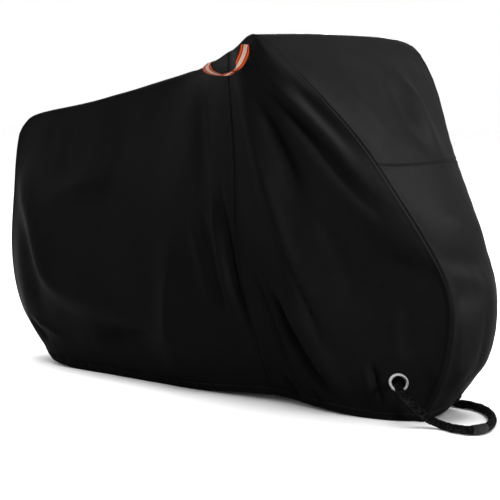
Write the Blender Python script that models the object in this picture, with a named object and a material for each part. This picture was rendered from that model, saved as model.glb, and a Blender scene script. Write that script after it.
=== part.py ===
"""Fitted bicycle cover with a webbing handle, two eyelets and a locking rope.

The cloth hangs as it does over a standing bicycle, which is not built. Metres, +Z up, +X is the front
wheel's end and -Y the near side. The origin lies under the middle of the cloth, on the ground.

One master skin is lofted from the table of sections below, gets its folds, and is then cut into the
panels a maker would sew, each 2 mm thick and 0.3 mm from the next along the seams.
"""
import math

import bmesh
import bpy
from mathutils import Matrix, Vector
from mathutils.bvhtree import BVHTree
from mathutils.kdtree import KDTree

# ---------------------------------------------------------------- driving dimensions
CLOTH_THICK = 0.002
HEM_THICK = 0.0036            # the turned and stitched lower edge
HEM_HEIGHT = 0.026
SEAM_GAP = 0.0003

EYELET_X = 0.638              # eyelet centres, seen from the side
EYELET_Z = 0.104
EYELET_HOLE = 0.017           # radii
EYELET_BARREL = 0.0195
EYELET_FLANGE = 0.0275
EYELET_FLANGE_THICK = 0.0018
EYELET_BACK_STEP = 0.003      # the back washer is this much smaller
EYELET_SEGMENTS = 28
EYELET_FLAT = 0.058           # the cloth is flat this far round an eyelet ...
EYELET_BLEND = 0.105          # ... and follows the drape again from here

STRAP_WIDTH = 0.027
STRAP_THICK = 0.0018
STRAP_CLEAR = 0.0009          # keeps its facets off the rounded cloth
STRAP_STEPS = 30
STRAP_ACROSS = (-1.0, -0.33, 0.33, 1.0)

ROPE_RADIUS = 0.0105
ROPE_SIDES_RESOLUTION = 2
ROPE_STEP = 0.021             # between the points of its route
ROPE_PLAY = 0.0006            # between the rope and the eyelet that it lies on
ROPE_INNER_END = 0.004        # its ends meet this far inside the near eyelet
ROPE_LEAD = 0.012             # straight on both sides of an eyelet
BAND_WALL = 0.0014
BAND_SEGMENTS = 20

BAR_TURN = 0.05               # the handlebar's near end points a little forward
STEER_SHIFT = 0.028           # the front wheel stands a little towards the far side
FAR_HEM_LIFT = 0.028          # and the hem rides up there

COLUMNS_PER_SPAN = (3, 4, 4, 5, 6, 6, 6, 4, 4)
ROWS_PER_SPAN = (2, 5, 6, 4, 3)
SPINE_ACROSS = 6
SEAM_STATION = 5              # the vertical side seam
SHOULDER = 2                  # the level whose x spaces the sections

# Heights of the levels, as a share of each section's height
LEVELS = (1.0, 0.92, 0.69, 0.38, 0.16, 0.0)

# Sections of one side, tail to front seam: (x, half width) at each level, and heights of top and hem.
#   name,          z_top, z_hem, top,          brow,         shoulder,     waist,        knee,         hem
SECTIONS = (
    ("tail",       0.762, 0.045, (-0.806, 0.030), (-0.852, 0.032), (-0.886, 0.036), (-0.896, 0.042),
     (-0.850, 0.042), (-0.748, 0.036)),
    ("rear rim",   0.792, 0.014, (-0.680, 0.030), (-0.708, 0.052), (-0.755, 0.088), (-0.775, 0.108),
     (-0.740, 0.104), (-0.655, 0.085)),
    ("rear axle",  0.819, 0.000, (-0.510, 0.032), (-0.520, 0.062), (-0.550, 0.118), (-0.565, 0.150),
     (-0.545, 0.138), (-0.500, 0.095)),
    ("saddle",     0.861, 0.000, (-0.300, 0.036), (-0.305, 0.070), (-0.310, 0.138), (-0.310, 0.182),
     (-0.300, 0.166), (-0.280, 0.100)),
    ("frame",      0.906, 0.004, (-0.090, 0.058), (-0.085, 0.104), (-0.070, 0.182), (-0.050, 0.216),
     (-0.040, 0.190), (-0.030, 0.112)),
    ("side seam",  0.951, 0.018, (0.177, 0.245), (0.186, 0.256), (0.207, 0.258), (0.218, 0.237),
     (0.222, 0.176), (0.226, 0.102)),
    ("bar rear",   0.961, 0.010, (0.272, 0.338), (0.292, 0.361), (0.345, 0.314), (0.385, 0.248),
     (0.400, 0.190), (0.400, 0.115)),
    ("bar end",    0.986, 0.000, (0.335, 0.370), (0.372, 0.384), (0.468, 0.284), (0.560, 0.192),
     (0.575, 0.166), (0.560, 0.125)),
    ("eyelet",     0.983, 0.000, (0.372, 0.386), (0.422, 0.372), (0.548, 0.254), (0.672, 0.156),
     (0.668, 0.132), (0.632, 0.112)),
    ("front seam", 0.962, 0.000, (0.398, 0.384), (0.474, 0.346), (0.626, 0.208), (0.768, 0.112),
     (0.760, 0.104), (0.670, 0.086)),
)

# Crest of the centre strip over each section: rise over its edges, step forward, and how square it is
CREST = (
    ("tail",       0.004, -0.012, 2.0),
    ("rear rim",   0.010, 0.0, 2.0),
    ("rear axle",  0.011, 0.0, 2.0),
    ("saddle",     0.012, 0.0, 2.0),
    ("frame",      0.012, 0.0, 2.0),
    ("side seam",  0.006, 0.0, 2.5),
    ("bar rear",   0.006, 0.0, 3.0),
    ("bar end",    0.006, 0.006, 4.0),
    ("eyelet",     0.012, 0.008, 5.0),
    ("front seam", 0.034, 0.010, 6.0),
)

# How far the front panel stands forward of its two seams in the middle, at each level
FRONT_BULGE = (0.020, 0.034, 0.034, 0.046, 0.042, 0.024)

# Folds on a side, seen from that side: start and end (x, z), half width, and height (a trough is
# negative). Each one fades towards its ends by the share "fade" of its length.
#   name,                  start,          end,            half width, height, fade
NEAR_FOLDS = (
    ("seam ridge",         (0.13, 0.50), (0.18, 0.22), 0.030, 0.011, 0.40),
    ("seam trough",        (0.16, 0.50), (0.21, 0.16), 0.024, -0.012, 0.40),
    ("long ridge",         (0.30, 0.84), (0.42, 0.28), 0.042, 0.015, 0.30),
    ("long valley",        (0.37, 0.86), (0.44, 0.52), 0.036, -0.015, 0.35),
    ("pedal crease",       (0.32, 0.32), (0.45, 0.05), 0.022, -0.014, 0.30),
    ("pedal crease lip",   (0.36, 0.34), (0.49, 0.07), 0.026, 0.011, 0.30),
    ("lens trough",        (0.47, 0.87), (0.63, 0.66), 0.026, -0.011, 0.30),
    ("bar ridge",          (0.42, 0.88), (0.62, 0.60), 0.026, 0.009, 0.25),
    ("bar crease",         (0.40, 0.86), (0.65, 0.52), 0.022, -0.009, 0.30),
    ("knee ridge",         (0.45, 0.76), (0.72, 0.42), 0.045, 0.009, 0.35),
    ("wheel tuck",         (0.62, 0.42), (0.76, 0.38), 0.034, -0.010, 0.35),
    ("rim ridge upper",    (-0.84, 0.60), (-0.60, 0.28), 0.045, 0.013, 0.30),
    ("rim ridge lower",    (-0.68, 0.30), (-0.22, 0.19), 0.045, 0.013, 0.30),
    ("tail hollow",        (-0.80, 0.46), (-0.64, 0.14), 0.045, -0.010, 0.35),
    ("rear hollow",        (-0.40, 0.15), (-0.14, 0.11), 0.045, -0.014, 0.35),
    ("saddle drape",       (-0.66, 0.53), (-0.32, 0.61), 0.040, 0.007, 0.40),
    ("frame drape",        (-0.05, 0.44), (-0.08, 0.06), 0.042, 0.011, 0.30),
    ("saddle trough",      (-0.03, 0.89), (0.10, 0.58), 0.042, -0.011, 0.35),
)
FAR_FOLDS = (
    ("seam trough",        (0.12, 0.52), (0.20, 0.14), 0.034, -0.012, 0.40),
    ("seam ridge",         (0.04, 0.62), (0.12, 0.22), 0.040, 0.012, 0.40),
    ("long ridge",         (0.28, 0.82), (0.36, 0.20), 0.044, 0.015, 0.35),
    ("long valley",        (0.35, 0.84), (0.50, 0.40), 0.044, -0.014, 0.35),
    ("pedal crease",       (0.42, 0.40), (0.50, 0.06), 0.030, -0.012, 0.30),
    ("bar ridge",          (0.42, 0.86), (0.62, 0.56), 0.032, 0.010, 0.30),
    ("rim ridge",          (-0.82, 0.44), (-0.36, 0.22), 0.052, 0.013, 0.30),
    ("rear hollow",        (-0.40, 0.26), (-0.18, 0.10), 0.052, -0.014, 0.35),
    ("saddle drape",       (-0.50, 0.66), (-0.26, 0.30), 0.044, -0.010, 0.40),
    ("frame drape",        (-0.10, 0.70), (-0.12, 0.10), 0.044, 0.010, 0.30),
)
# Folds on the front panel, seen from the front: start and end are (y, z)
FRONT_FOLDS = (
    ("upper trough",       (0.03, 0.90), (0.01, 0.68), 0.034, -0.012, 0.35),
    ("upper ridge",        (0.11, 0.90), (0.07, 0.68), 0.034, 0.009, 0.35),
    ("brow over wheel",    (-0.10, 0.53), (0.12, 0.50), 0.040, 0.008, 0.30),
    ("tuck over wheel",    (-0.11, 0.43), (0.12, 0.40), 0.034, -0.012, 0.30),
    ("wheel ridge",        (-0.03, 0.32), (-0.02, 0.08), 0.024, 0.006, 0.30),
)

# Webbing handle: places along it, from its rear end to its front end, as (x, z) on the near side,
# how far it stands off the cloth, and how far its face is turned, in degrees
STRAP_PLACES = (
    ("rear end",   0.012, 0.919, 0.002, -10),
    ("rear sewn",  0.047, 0.911, 0.008, -35),
    ("rear drop",  0.118, 0.897, 0.018, -70),
    ("low rear",   0.187, 0.890, 0.024, -75),
    ("lowest",     0.262, 0.886, 0.028, -72),
    ("low front",  0.314, 0.890, 0.024, -75),
    ("twist",      0.337, 0.902, 0.018, -60),
    ("front rise", 0.343, 0.920, 0.010, -25),
    ("front sewn", 0.348, 0.941, 0.003, -5),
    ("front end",  0.351, 0.963, 0.0, 0),
)

# The rope's loose loop on the ground, from the near eyelet round to the far one: (x, y, z)
ROPE_LOOP = (
    (0.684, -0.158, 0.086),
    (0.712, -0.140, 0.054),
    (0.736, -0.118, 0.024),
    (0.772, -0.108, 0.0110),
    (0.818, -0.121, 0.0110),
    (0.860, -0.116, 0.0129),
    (0.873, -0.074, 0.0129),
    (0.861, -0.026, 0.0112),
    (0.836, 0.028, 0.0108),
    (0.795, 0.087, 0.0108),
    (0.749, 0.130, 0.0108),
    (0.709, 0.148, 0.0108),
    (0.672, 0.151, 0.0108),
    (0.638, 0.157, 0.0120),
    (0.614, 0.177, 0.028),
    (0.608, 0.197, 0.058),
    (0.622, 0.200, 0.087),
)
# and back inside the cloth, sagging between the eyelets
ROPE_INSIDE = (
    (0.610, 0.080, 0.100),
    (0.596, 0.020, 0.082),
    (0.600, -0.030, 0.084),
)
BAND_PLACE = 0.275             # the joint's share of the way round the loop

CUTTER_LENGTH = 0.06


# ---------------------------------------------------------------- small helpers
def smoothstep(value, low, high):
    share = min(1.0, max(0.0, (value - low) / (high - low)))
    return share * share * (3.0 - 2.0 * share)


def hermite(knots, values, at):
    """Smooth curve through values at unevenly spaced knots."""
    last = len(knots) - 1
    at = min(max(at, knots[0]), knots[-1])
    index = 0
    while index < last - 1 and at > knots[index + 1]:
        index += 1

    def slope(i):
        low = max(0, i - 1)
        high = min(last, i + 1)
        return (values[high] - values[low]) / (knots[high] - knots[low])

    span = knots[index + 1] - knots[index]
    s = (at - knots[index]) / span
    start = values[index] * (2 * s ** 3 - 3 * s ** 2 + 1)
    end = values[index + 1] * (3 * s ** 2 - 2 * s ** 3)
    leave = slope(index) * (span * (s ** 3 - 2 * s ** 2 + s))
    arrive = slope(index + 1) * (span * (s ** 3 - s ** 2))
    return start + end + leave + arrive


def spread(counts):
    """Running positions that share out each span evenly, as (span index + share)."""
    places = [0.0]
    for span, count in enumerate(counts):
        places += [span + (step + 1) / count for step in range(count)]
    return places


def between(knots, place):
    """The knot value at a place given as span index + share."""
    index = min(int(place), len(knots) - 2)
    return knots[index] + (knots[index + 1] - knots[index]) * (place - index)


# ---------------------------------------------------------------- the undisturbed drape
GIRTH = [row[3 + SHOULDER][0] for row in SECTIONS]
DEPTH = [1.0 - level for level in LEVELS]


def side_point(girth, depth, side):
    """A place on a side, side -1 near and +1 far, before the folds."""
    levels = []
    for level in range(len(LEVELS)):
        rows = []
        for row in SECTIONS:
            x, width = row[3 + level]
            z = row[2] + (row[1] - row[2]) * LEVELS[level]
            rows.append(Vector((x, width, z)))
        levels.append(hermite(GIRTH, rows, girth))
    place = hermite(DEPTH, levels, depth)
    return settle(Vector((place.x, side * place.y, place.z)))


def settle(place):
    """The front wheel stands a little to the far side, where the hem also rides up."""
    forward = smoothstep(place.x, 0.42, 0.68)
    low = 1.0 - smoothstep(place.z, 0.28, 0.62)
    hem = 1.0 - smoothstep(place.z, 0.0, 0.25)
    far = smoothstep(place.y, -0.05, 0.10)
    high = smoothstep(place.z, 0.45, 0.75) * smoothstep(place.x, -0.10, 0.30)
    place.x -= BAR_TURN * high * place.y
    place.y += STEER_SHIFT * forward * low
    place.z += FAR_HEM_LIFT * forward * hem * far
    return place


def crest_values(girth):
    rows = [Vector((row[1], row[2], row[3])) for row in CREST]
    return hermite(GIRTH, rows, girth)


# ---------------------------------------------------------------- the master skin
class Skin:
    """The whole cover as one open sheet of triangles, each marked with its panel."""

    def __init__(self):
        self.held = {}
        self.columns = spread(COLUMNS_PER_SPAN)
        self.rows = spread(ROWS_PER_SPAN)
        self.mesh = bmesh.new()
        self.panel = self.mesh.faces.layers.int.new("panel")
        self.names = []
        self.sides = {side: self.side_grid(side) for side in (-1, 1)}
        self.spine = self.spine_grid()
        self.front = self.front_grid()
        self.cut_panels()
        self.mesh.normal_update()

    def side_grid(self, side):
        grid = []
        for column in self.columns:
            girth = between(GIRTH, column)
            line = [side_point(girth, between(DEPTH, row), side) for row in self.rows]
            grid.append([self.mesh.verts.new(place) for place in line])
        return grid

    def spine_grid(self):
        """Centre strip: up the tail, over the ridge and out to the handlebar ends."""
        near, far = self.sides[-1], self.sides[1]
        last_row = len(self.rows) - 1
        edges = [(near[0][row], far[0][row], 0) for row in range(last_row, 0, -1)]
        edges += [(near[i][0], far[i][0], i) for i in range(len(self.columns))]
        grid = []
        for step, (left, right, column) in enumerate(edges):
            rise, ahead, square = crest_values(between(GIRTH, self.columns[column]))
            tail = step < last_row
            line = [left]
            for across in range(1, SPINE_ACROSS):
                share = 2.0 * across / SPINE_ACROSS - 1.0
                arch = 1.0 - abs(share) ** square
                place = left.co.lerp(right.co, across / SPINE_ACROSS)
                place.x += ahead * arch
                place.z += (0.0 if tail else rise) * arch
                line.append(self.mesh.verts.new(place))
            line.append(right)
            grid.append(line)
        return grid

    def front_grid(self):
        """Front panel between the two front seams, from the handlebar down."""
        near, far = self.sides[-1][-1], self.sides[1][-1]
        grid = [self.spine[-1]]
        for row in range(1, len(self.rows)):
            bulge = hermite(DEPTH, FRONT_BULGE, between(DEPTH, self.rows[row]))
            line = [near[row]]
            for across in range(1, SPINE_ACROSS):
                share = 2.0 * across / SPINE_ACROSS - 1.0
                place = near[row].co.lerp(far[row].co, across / SPINE_ACROSS)
                place.x += bulge * (1.0 - share * share)
                line.append(self.mesh.verts.new(place))
            line.append(far[row])
            grid.append(line)
        return grid

    def quads(self, grid, name, flip, lines=None):
        """Faces of one panel over a range of a grid's lines."""
        if name not in self.names:
            self.names.append(name)
        first, last = lines if lines else (0, len(grid) - 1)
        for i in range(first, last):
            for j in range(len(grid[i]) - 1):
                corners = [grid[i][j], grid[i + 1][j], grid[i + 1][j + 1], grid[i][j + 1]]
                if flip:
                    corners.reverse()
                face = self.mesh.faces.new(corners)
                face[self.panel] = self.names.index(name)

    def cut_panels(self):
        seam = sum(COLUMNS_PER_SPAN[:SEAM_STATION])
        cross = sum(ROWS_PER_SPAN[:2])
        for side, word in ((-1, "near"), (1, "far")):
            grid = self.sides[side]
            self.quads(grid, "side_rear_" + word, side < 0, (0, seam))
            self.quads(grid, "side_front_" + word, side < 0, (seam, len(grid) - 1))
        self.quads(self.spine, "top_strip", False)
        self.quads(self.front, "front_upper", False, (0, cross))
        self.quads(self.front, "front_lower", False, (cross, len(self.front) - 1))

    # ------------------------------------------------------------ folds
    def fold(self):
        """Raise and sink the folds along the undisturbed normals."""
        moves = {}
        front = {vert for line in self.front[1:] for vert in line[1:-1]}
        for side, table in ((-1, NEAR_FOLDS), (1, FAR_FOLDS)):
            for line in self.sides[side]:
                for vert in line:
                    moves[vert] = sum(fold_height(row, vert.co.x, vert.co.z) for row in table)
        for vert in front:
            moves[vert] = sum(fold_height(row, vert.co.y, vert.co.z) for row in FRONT_FOLDS)
        for vert, move in moves.items():
            vert.co += vert.normal * move
            vert.co.z = max(vert.co.z, 0.0)
        self.mesh.normal_update()

    def flatten_eyelet(self, side):
        """Make the cloth flat round an eyelet. Gives the eyelet's centre and outward direction."""
        verts = [vert for line in self.sides[side] for vert in line]
        aim = Vector((EYELET_X, 0.0, EYELET_Z))

        def off(vert):
            return math.hypot(vert.co.x - aim.x, vert.co.z - aim.z)

        close = [vert for vert in verts if off(vert) < EYELET_FLAT and vert.co.y * side > 0]
        outward = sum((vert.normal for vert in close), Vector()).normalized()
        middle = sum((vert.co for vert in close), Vector()) / len(close)
        level = (middle - aim).dot(outward)
        aim.y = level / outward.y
        for vert in verts:
            span = (vert.co - aim).length
            hold = 1.0 - smoothstep(span, EYELET_FLAT, EYELET_BLEND)
            vert.co -= outward * ((vert.co - aim).dot(outward) * hold)
        self.held.update({vert: outward for vert in verts if (vert.co - aim).length < EYELET_FLAT})
        return aim, outward

    def normal(self, vert):
        return self.held.get(vert, vert.normal)

    def measure_hem(self):
        """How far each place on the skin lies from the lower edge."""
        edge = [vert for vert in self.mesh.verts if vert.is_boundary]
        tree = KDTree(len(edge))
        for number, vert in enumerate(edge):
            tree.insert(vert.co, number)
        tree.balance()
        self.above_hem = {vert: tree.find(vert.co)[2] for vert in self.mesh.verts}


def fold_height(row, along, up):
    """Height of one fold at a place seen from its side."""
    name, start, end, half_width, height, fade = row
    run = (end[0] - start[0], end[1] - start[1])
    length = math.hypot(*run)
    gap = (along - start[0], up - start[1])
    share = (gap[0] * run[0] + gap[1] * run[1]) / length ** 2
    aside = abs(gap[0] * run[1] - gap[1] * run[0]) / length
    ends = smoothstep(share, -fade * 0.5, fade) * (1.0 - smoothstep(share, 1.0 - fade, 1.0 + fade * 0.5))
    return height * ends * math.exp(-(aside / half_width) ** 2)


# ---------------------------------------------------------------- making the pieces
def clear_scene():
    for item in list(bpy.data.objects):
        bpy.data.objects.remove(item, do_unlink=True)


def new_collection(name):
    collection = bpy.data.collections.new(name)
    bpy.context.scene.collection.children.link(collection)
    return collection


def make_material(name, color, roughness, metallic=0.0):
    material = bpy.data.materials.new(name)
    material.use_nodes = True
    shader = material.node_tree.nodes["Principled BSDF"]
    shader.inputs["Base Color"].default_value = (*color, 1.0)
    shader.inputs["Roughness"].default_value = roughness
    shader.inputs["Metallic"].default_value = metallic
    return material


def add_object(name, bm, collection, material):
    mesh = bpy.data.meshes.new(name)
    bm.to_mesh(mesh)
    bm.free()
    item = bpy.data.objects.new(name, mesh)
    collection.objects.link(item)
    if material:
        mesh.materials.append(material)
    mesh.shade_smooth()
    mesh.set_sharp_from_angle(angle=math.radians(35))
    return item


def seam_shift(vert, faces, index, layer, normal):
    """Step away from the neighbouring panels, half the seam gap, square to each seam."""
    inward = []
    for edge in vert.link_edges:
        mine = [face for face in edge.link_faces if face[layer] == index]
        others = [face for face in edge.link_faces if face[layer] != index]
        if len(mine) == 1 and others:
            run = (edge.other_vert(vert).co - vert.co).normalized()
            step = normal.cross(run).normalized()
            if step.dot(mine[0].calc_center_median() - vert.co) < 0:
                step.negate()
            inward.append(step)
    if not inward:
        return Vector()
    total = sum(inward, Vector())
    if total.length < 1e-6:
        return Vector()
    total.normalize()
    widest = max(0.35, min(total.dot(step) for step in inward))
    return total * (SEAM_GAP * 0.5 / widest)


def sheet_thickness(above_hem):
    """The cloth is thicker in the turned hem."""
    turned = 1.0 - smoothstep(above_hem, HEM_HEIGHT * 0.6, HEM_HEIGHT * 1.6)
    return CLOTH_THICK + (HEM_THICK - CLOTH_THICK) * turned


def panel_solid(skin, name, collection, material):
    """A panel of the master skin with its real thickness, closed at its edges."""
    index = skin.names.index(name)
    layer = skin.panel
    faces = [face for face in skin.mesh.faces if face[layer] == index]
    verts = sorted({vert for face in faces for vert in face.verts}, key=lambda vert: vert.index)
    bm = bmesh.new()
    outer, inner = {}, {}
    for vert in verts:
        normal = skin.normal(vert)
        shift = seam_shift(vert, faces, index, layer, normal)
        thick = sheet_thickness(skin.above_hem[vert])
        outer[vert] = bm.verts.new(vert.co + shift)
        inner[vert] = bm.verts.new(vert.co + shift - normal * thick)
    for face in faces:
        bm.faces.new([outer[vert] for vert in face.verts])
        bm.faces.new([inner[vert] for vert in reversed(face.verts)])
        for loop in face.loops:
            edge = loop.edge
            mine = [other for other in edge.link_faces if other[layer] == index]
            if len(mine) == 1:
                first, second = loop.vert, loop.link_loop_next.vert
                bm.faces.new([outer[second], outer[first], inner[first], inner[second]])
    bmesh.ops.triangulate(bm, faces=[face for face in bm.faces if len(face.verts) > 3])
    return add_object(name, bm, collection, material)


def cut_hole(panel, centre, outward, cutters):
    """Cut the round hole that an eyelet's barrel fills."""
    bm = bmesh.new()
    bmesh.ops.create_cone(bm, cap_ends=True, segments=32, radius1=EYELET_BARREL + SEAM_GAP,
                          radius2=EYELET_BARREL + SEAM_GAP, depth=CUTTER_LENGTH)
    turn = outward.to_track_quat("Z", "Y").to_matrix().to_4x4()
    bmesh.ops.transform(bm, matrix=Matrix.Translation(centre) @ turn, verts=bm.verts)
    cutter = add_object("hole_" + panel.name, bm, cutters, None)
    cutter.hide_render = True
    cutter.display_type = "WIRE"
    hole = panel.modifiers.new("eyelet hole", "BOOLEAN")
    hole.operation = "DIFFERENCE"
    hole.object = cutter


def eyelet(name, centre, outward, collection, material):
    """A two-flange eyelet as a turned ring, its profile spun round the hole's axis."""
    face = SEAM_GAP
    back = -CLOTH_THICK - SEAM_GAP
    thick = EYELET_FLANGE_THICK
    rim = EYELET_FLANGE
    washer = rim - EYELET_BACK_STEP
    roll = (EYELET_HOLE + EYELET_FLANGE) / 2
    profile = (
        (EYELET_HOLE, face + thick * 0.5), (EYELET_HOLE + 0.0016, face + thick),
        (roll, face + thick * 1.25), (rim - 0.0016, face + thick), (rim, face + thick * 0.45),
        (rim, face), (EYELET_BARREL, face), (EYELET_BARREL, back), (washer, back),
        (washer, back - thick * 0.6), (roll, back - thick), (EYELET_HOLE, back - thick * 0.6),
    )
    bm = bmesh.new()
    rings = []
    turn = outward.to_track_quat("Z", "Y").to_matrix()
    for spoke in range(EYELET_SEGMENTS):
        angle = 2 * math.pi * spoke / EYELET_SEGMENTS
        ring = []
        for radius, height in profile:
            spot = Vector((radius * math.cos(angle), radius * math.sin(angle), height))
            ring.append(bm.verts.new(centre + turn @ spot))
        rings.append(ring)
    join_round(bm, rings)
    return add_object(name, bm, collection, material)


def join_round(bm, rings):
    """Join like rings in a circle, so that their outline is swept right round."""
    for spoke, here in enumerate(rings):
        there = rings[(spoke + 1) % len(rings)]
        for j in range(len(here)):
            k = (j + 1) % len(here)
            bm.faces.new([here[j], here[k], there[k], there[j]])
    bmesh.ops.recalc_face_normals(bm, faces=bm.faces)


def outside_of(panels):
    """Search tree over the faces of some panels."""
    bm = bmesh.new()
    for panel in panels:
        bm.from_mesh(panel.data)
    return BVHTree.FromBMesh(bm)


def strap(name, cloth, collection, material):
    """Webbing handle, sewn flat at both ends and hanging in a bow between them."""
    spots, normals = [], []
    for _, x, z, off, _ in STRAP_PLACES:
        place, normal, _, _ = cloth.ray_cast(Vector((x, -1.0, z)), Vector((0.0, 1.0, 0.0)))
        spots.append(place + normal * (off + SEAM_GAP + STRAP_THICK / 2))
        normals.append(normal)
    turns = [math.radians(row[4]) for row in STRAP_PLACES]
    knots = lengths_along(spots)
    least_face = STRAP_CLEAR + STRAP_THICK
    bm = bmesh.new()
    rings = []
    for step in range(STRAP_STEPS + 1):
        at = knots[-1] * step / STRAP_STEPS
        centre = hermite(knots, spots, at)
        run = (hermite(knots, spots, at + 0.002) - hermite(knots, spots, at - 0.002)).normalized()
        up = hermite(knots, normals, at)
        flat = (up - run * up.dot(run)).normalized()
        flat = Matrix.Rotation(hermite(knots, turns, at), 3, run) @ flat
        across = run.cross(flat).normalized()
        back, face = [], []
        for share in STRAP_ACROSS:
            spot = centre + across * (share * STRAP_WIDTH / 2)
            inside = clear_of(cloth, spot - flat * (STRAP_THICK / 2), STRAP_CLEAR)
            back.append(bm.verts.new(inside))
            face.append(bm.verts.new(clear_of(cloth, inside + flat * STRAP_THICK, least_face)))
        rings.append(back + face[::-1])
    close_rings(bm, rings)
    return add_object(name, bm, collection, material)


def clear_of(cloth, spot, least):
    """Push a place out until it stands clear of the cloth."""
    place, normal, _, _ = cloth.find_nearest(spot)
    short = least - (spot - place).dot(normal)
    return spot + normal * short if short > 0.0 else spot


def lengths_along(places):
    knots = [0.0]
    for here, there in zip(places, places[1:]):
        knots.append(knots[-1] + (there - here).length)
    return knots


def close_rings(bm, rings):
    """Join a row of like rings into a tube with flat ends."""
    for here, there in zip(rings, rings[1:]):
        for j in range(len(here)):
            k = (j + 1) % len(here)
            bm.faces.new([here[j], here[k], there[k], there[j]])
    bm.faces.new(list(reversed(rings[0])))
    bm.faces.new(rings[-1])
    bmesh.ops.recalc_face_normals(bm, faces=bm.faces)
    bmesh.ops.triangulate(bm, faces=bm.faces)


def seat_of(centre, outward):
    """The rope lies on the lower edge of an eyelet's hole."""
    down = Vector((0.0, 0.0, -1.0))
    down -= outward * down.dot(outward)
    return centre + down.normalized() * (EYELET_HOLE - ROPE_RADIUS - ROPE_PLAY)


def rope_route(near, far):
    """The rope's whole way: out of the near eyelet, round the loop, in at the far one and back."""
    near_out, far_out = near[1], far[1]
    near_seat, far_seat = seat_of(*near), seat_of(*far)
    start = near_seat - near_out * ROPE_INNER_END
    places = [start, near_seat + near_out * ROPE_LEAD]
    places += [Vector(spot) for spot in ROPE_LOOP]
    places += [far_seat + far_out * ROPE_LEAD, far_seat - far_out * ROPE_LEAD]
    places += [Vector(spot) for spot in ROPE_INSIDE]
    places += [start - near_out * ROPE_LEAD, start - near_out * SEAM_GAP]
    return places


def smooth_route(places, step):
    """Points along a smooth curve through the places, about a step apart."""
    knots = lengths_along(places)
    route = [places[0]]
    for low, high in zip(knots, knots[1:]):
        count = max(1, round((high - low) / step))
        route += [hermite(knots, places, low + (high - low) * part / count) for part in range(1, count + 1)]
    for place in route:
        place.z = max(place.z, ROPE_RADIUS)
    return route


def rope(name, route, collection, material):
    curve = bpy.data.curves.new(name, "CURVE")
    curve.dimensions = "3D"
    curve.bevel_depth = ROPE_RADIUS
    curve.bevel_resolution = ROPE_SIDES_RESOLUTION
    curve.use_fill_caps = True
    spline = curve.splines.new("POLY")
    spline.points.add(len(route) - 1)
    for point, place in zip(spline.points, route):
        point.co = (*place, 1.0)
    curve.materials.append(material)
    item = bpy.data.objects.new(name, curve)
    collection.objects.link(item)
    return item


def rope_band(name, route, collection, material):
    """The short grey sleeve that joins the rope's cover, bent with the loop."""
    middle = round(BAND_PLACE * (len(route) - 1))
    inner = ROPE_RADIUS + 2 * SEAM_GAP
    outer = inner + BAND_WALL
    profile = ((-1, inner), (-1, outer), (0, outer), (1, outer), (1, inner), (0, inner))
    frames = {}
    for step in (-1, 0, 1):
        here = middle + step
        run = (route[here + 1] - route[here - 1]).normalized()
        level = run.cross(Vector((0.0, 0.0, 1.0))).normalized()
        frames[step] = (route[here], level, level.cross(run))
    bm = bmesh.new()
    rings = []
    for spoke in range(BAND_SEGMENTS):
        angle = 2 * math.pi * spoke / BAND_SEGMENTS
        ring = []
        for step, radius in profile:
            centre, level, up = frames[step]
            ring.append(bm.verts.new(centre + (level * math.cos(angle) + up * math.sin(angle)) * radius))
        rings.append(ring)
    join_round(bm, rings)
    return add_object(name, bm, collection, material)


def centre_on_origin(collections, loose):
    """Set the cloth's box over the origin. The loose rope doesn't count."""
    pieces = [item for collection in collections for item in collection.objects]
    fixed = [item for item in collections[0].objects if item.name not in loose]
    corners = [vert.co for item in fixed for vert in item.data.vertices]
    low = [min(corner[axis] for corner in corners) for axis in range(3)]
    high = [max(corner[axis] for corner in corners) for axis in range(3)]
    shift = Vector((-(low[0] + high[0]) / 2, -(low[1] + high[1]) / 2, -low[2]))
    for item in pieces:
        item.data.transform(Matrix.Translation(shift))


def main():
    clear_scene()
    cover = new_collection("bicycle_cover")
    cutters = new_collection("cutters")
    cloth = make_material("black_cloth", (0.012, 0.012, 0.013), 0.55)
    webbing = make_material("orange_webbing", (0.75, 0.13, 0.03), 0.7)
    metal = make_material("eyelet_metal", (0.62, 0.62, 0.63), 0.3, 1.0)
    sleeve = make_material("black_rope", (0.01, 0.01, 0.01), 0.7)
    grey = make_material("grey_band", (0.12, 0.12, 0.12), 0.5)

    skin = Skin()
    skin.fold()
    eyelets = {side: skin.flatten_eyelet(side) for side in (-1, 1)}
    bmesh.ops.triangulate(skin.mesh, faces=skin.mesh.faces, quad_method="SHORT_EDGE")
    skin.mesh.normal_update()
    skin.mesh.verts.index_update()
    skin.measure_hem()
    panels = {name: panel_solid(skin, name, cover, cloth) for name in skin.names}
    for side, word in ((-1, "near"), (1, "far")):
        cut_hole(panels["side_front_" + word], *eyelets[side], cutters)
        eyelet("eyelet_" + word, *eyelets[side], cover, metal)
    near_cloth = outside_of([panels["side_rear_near"], panels["side_front_near"]])
    strap("handle", near_cloth, cover, webbing)
    route = smooth_route(rope_route(eyelets[-1], eyelets[1]), ROPE_STEP)
    rope("rope", route, cover, sleeve)
    rope_band("rope_band", route, cover, grey)
    centre_on_origin((cover, cutters), ("rope", "rope_band"))


main()
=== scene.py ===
"""Fitted bicycle cover with a webbing handle, two eyelets and a locking rope.

The cloth hangs as it does over a standing bicycle, which isn't built. Metres, +Z up, +X is the front
wheel's end and -Y the near side. The tables below are in the drape's own coordinates, and every piece
is moved by SHIFT at the end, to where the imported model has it.
"""

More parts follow.
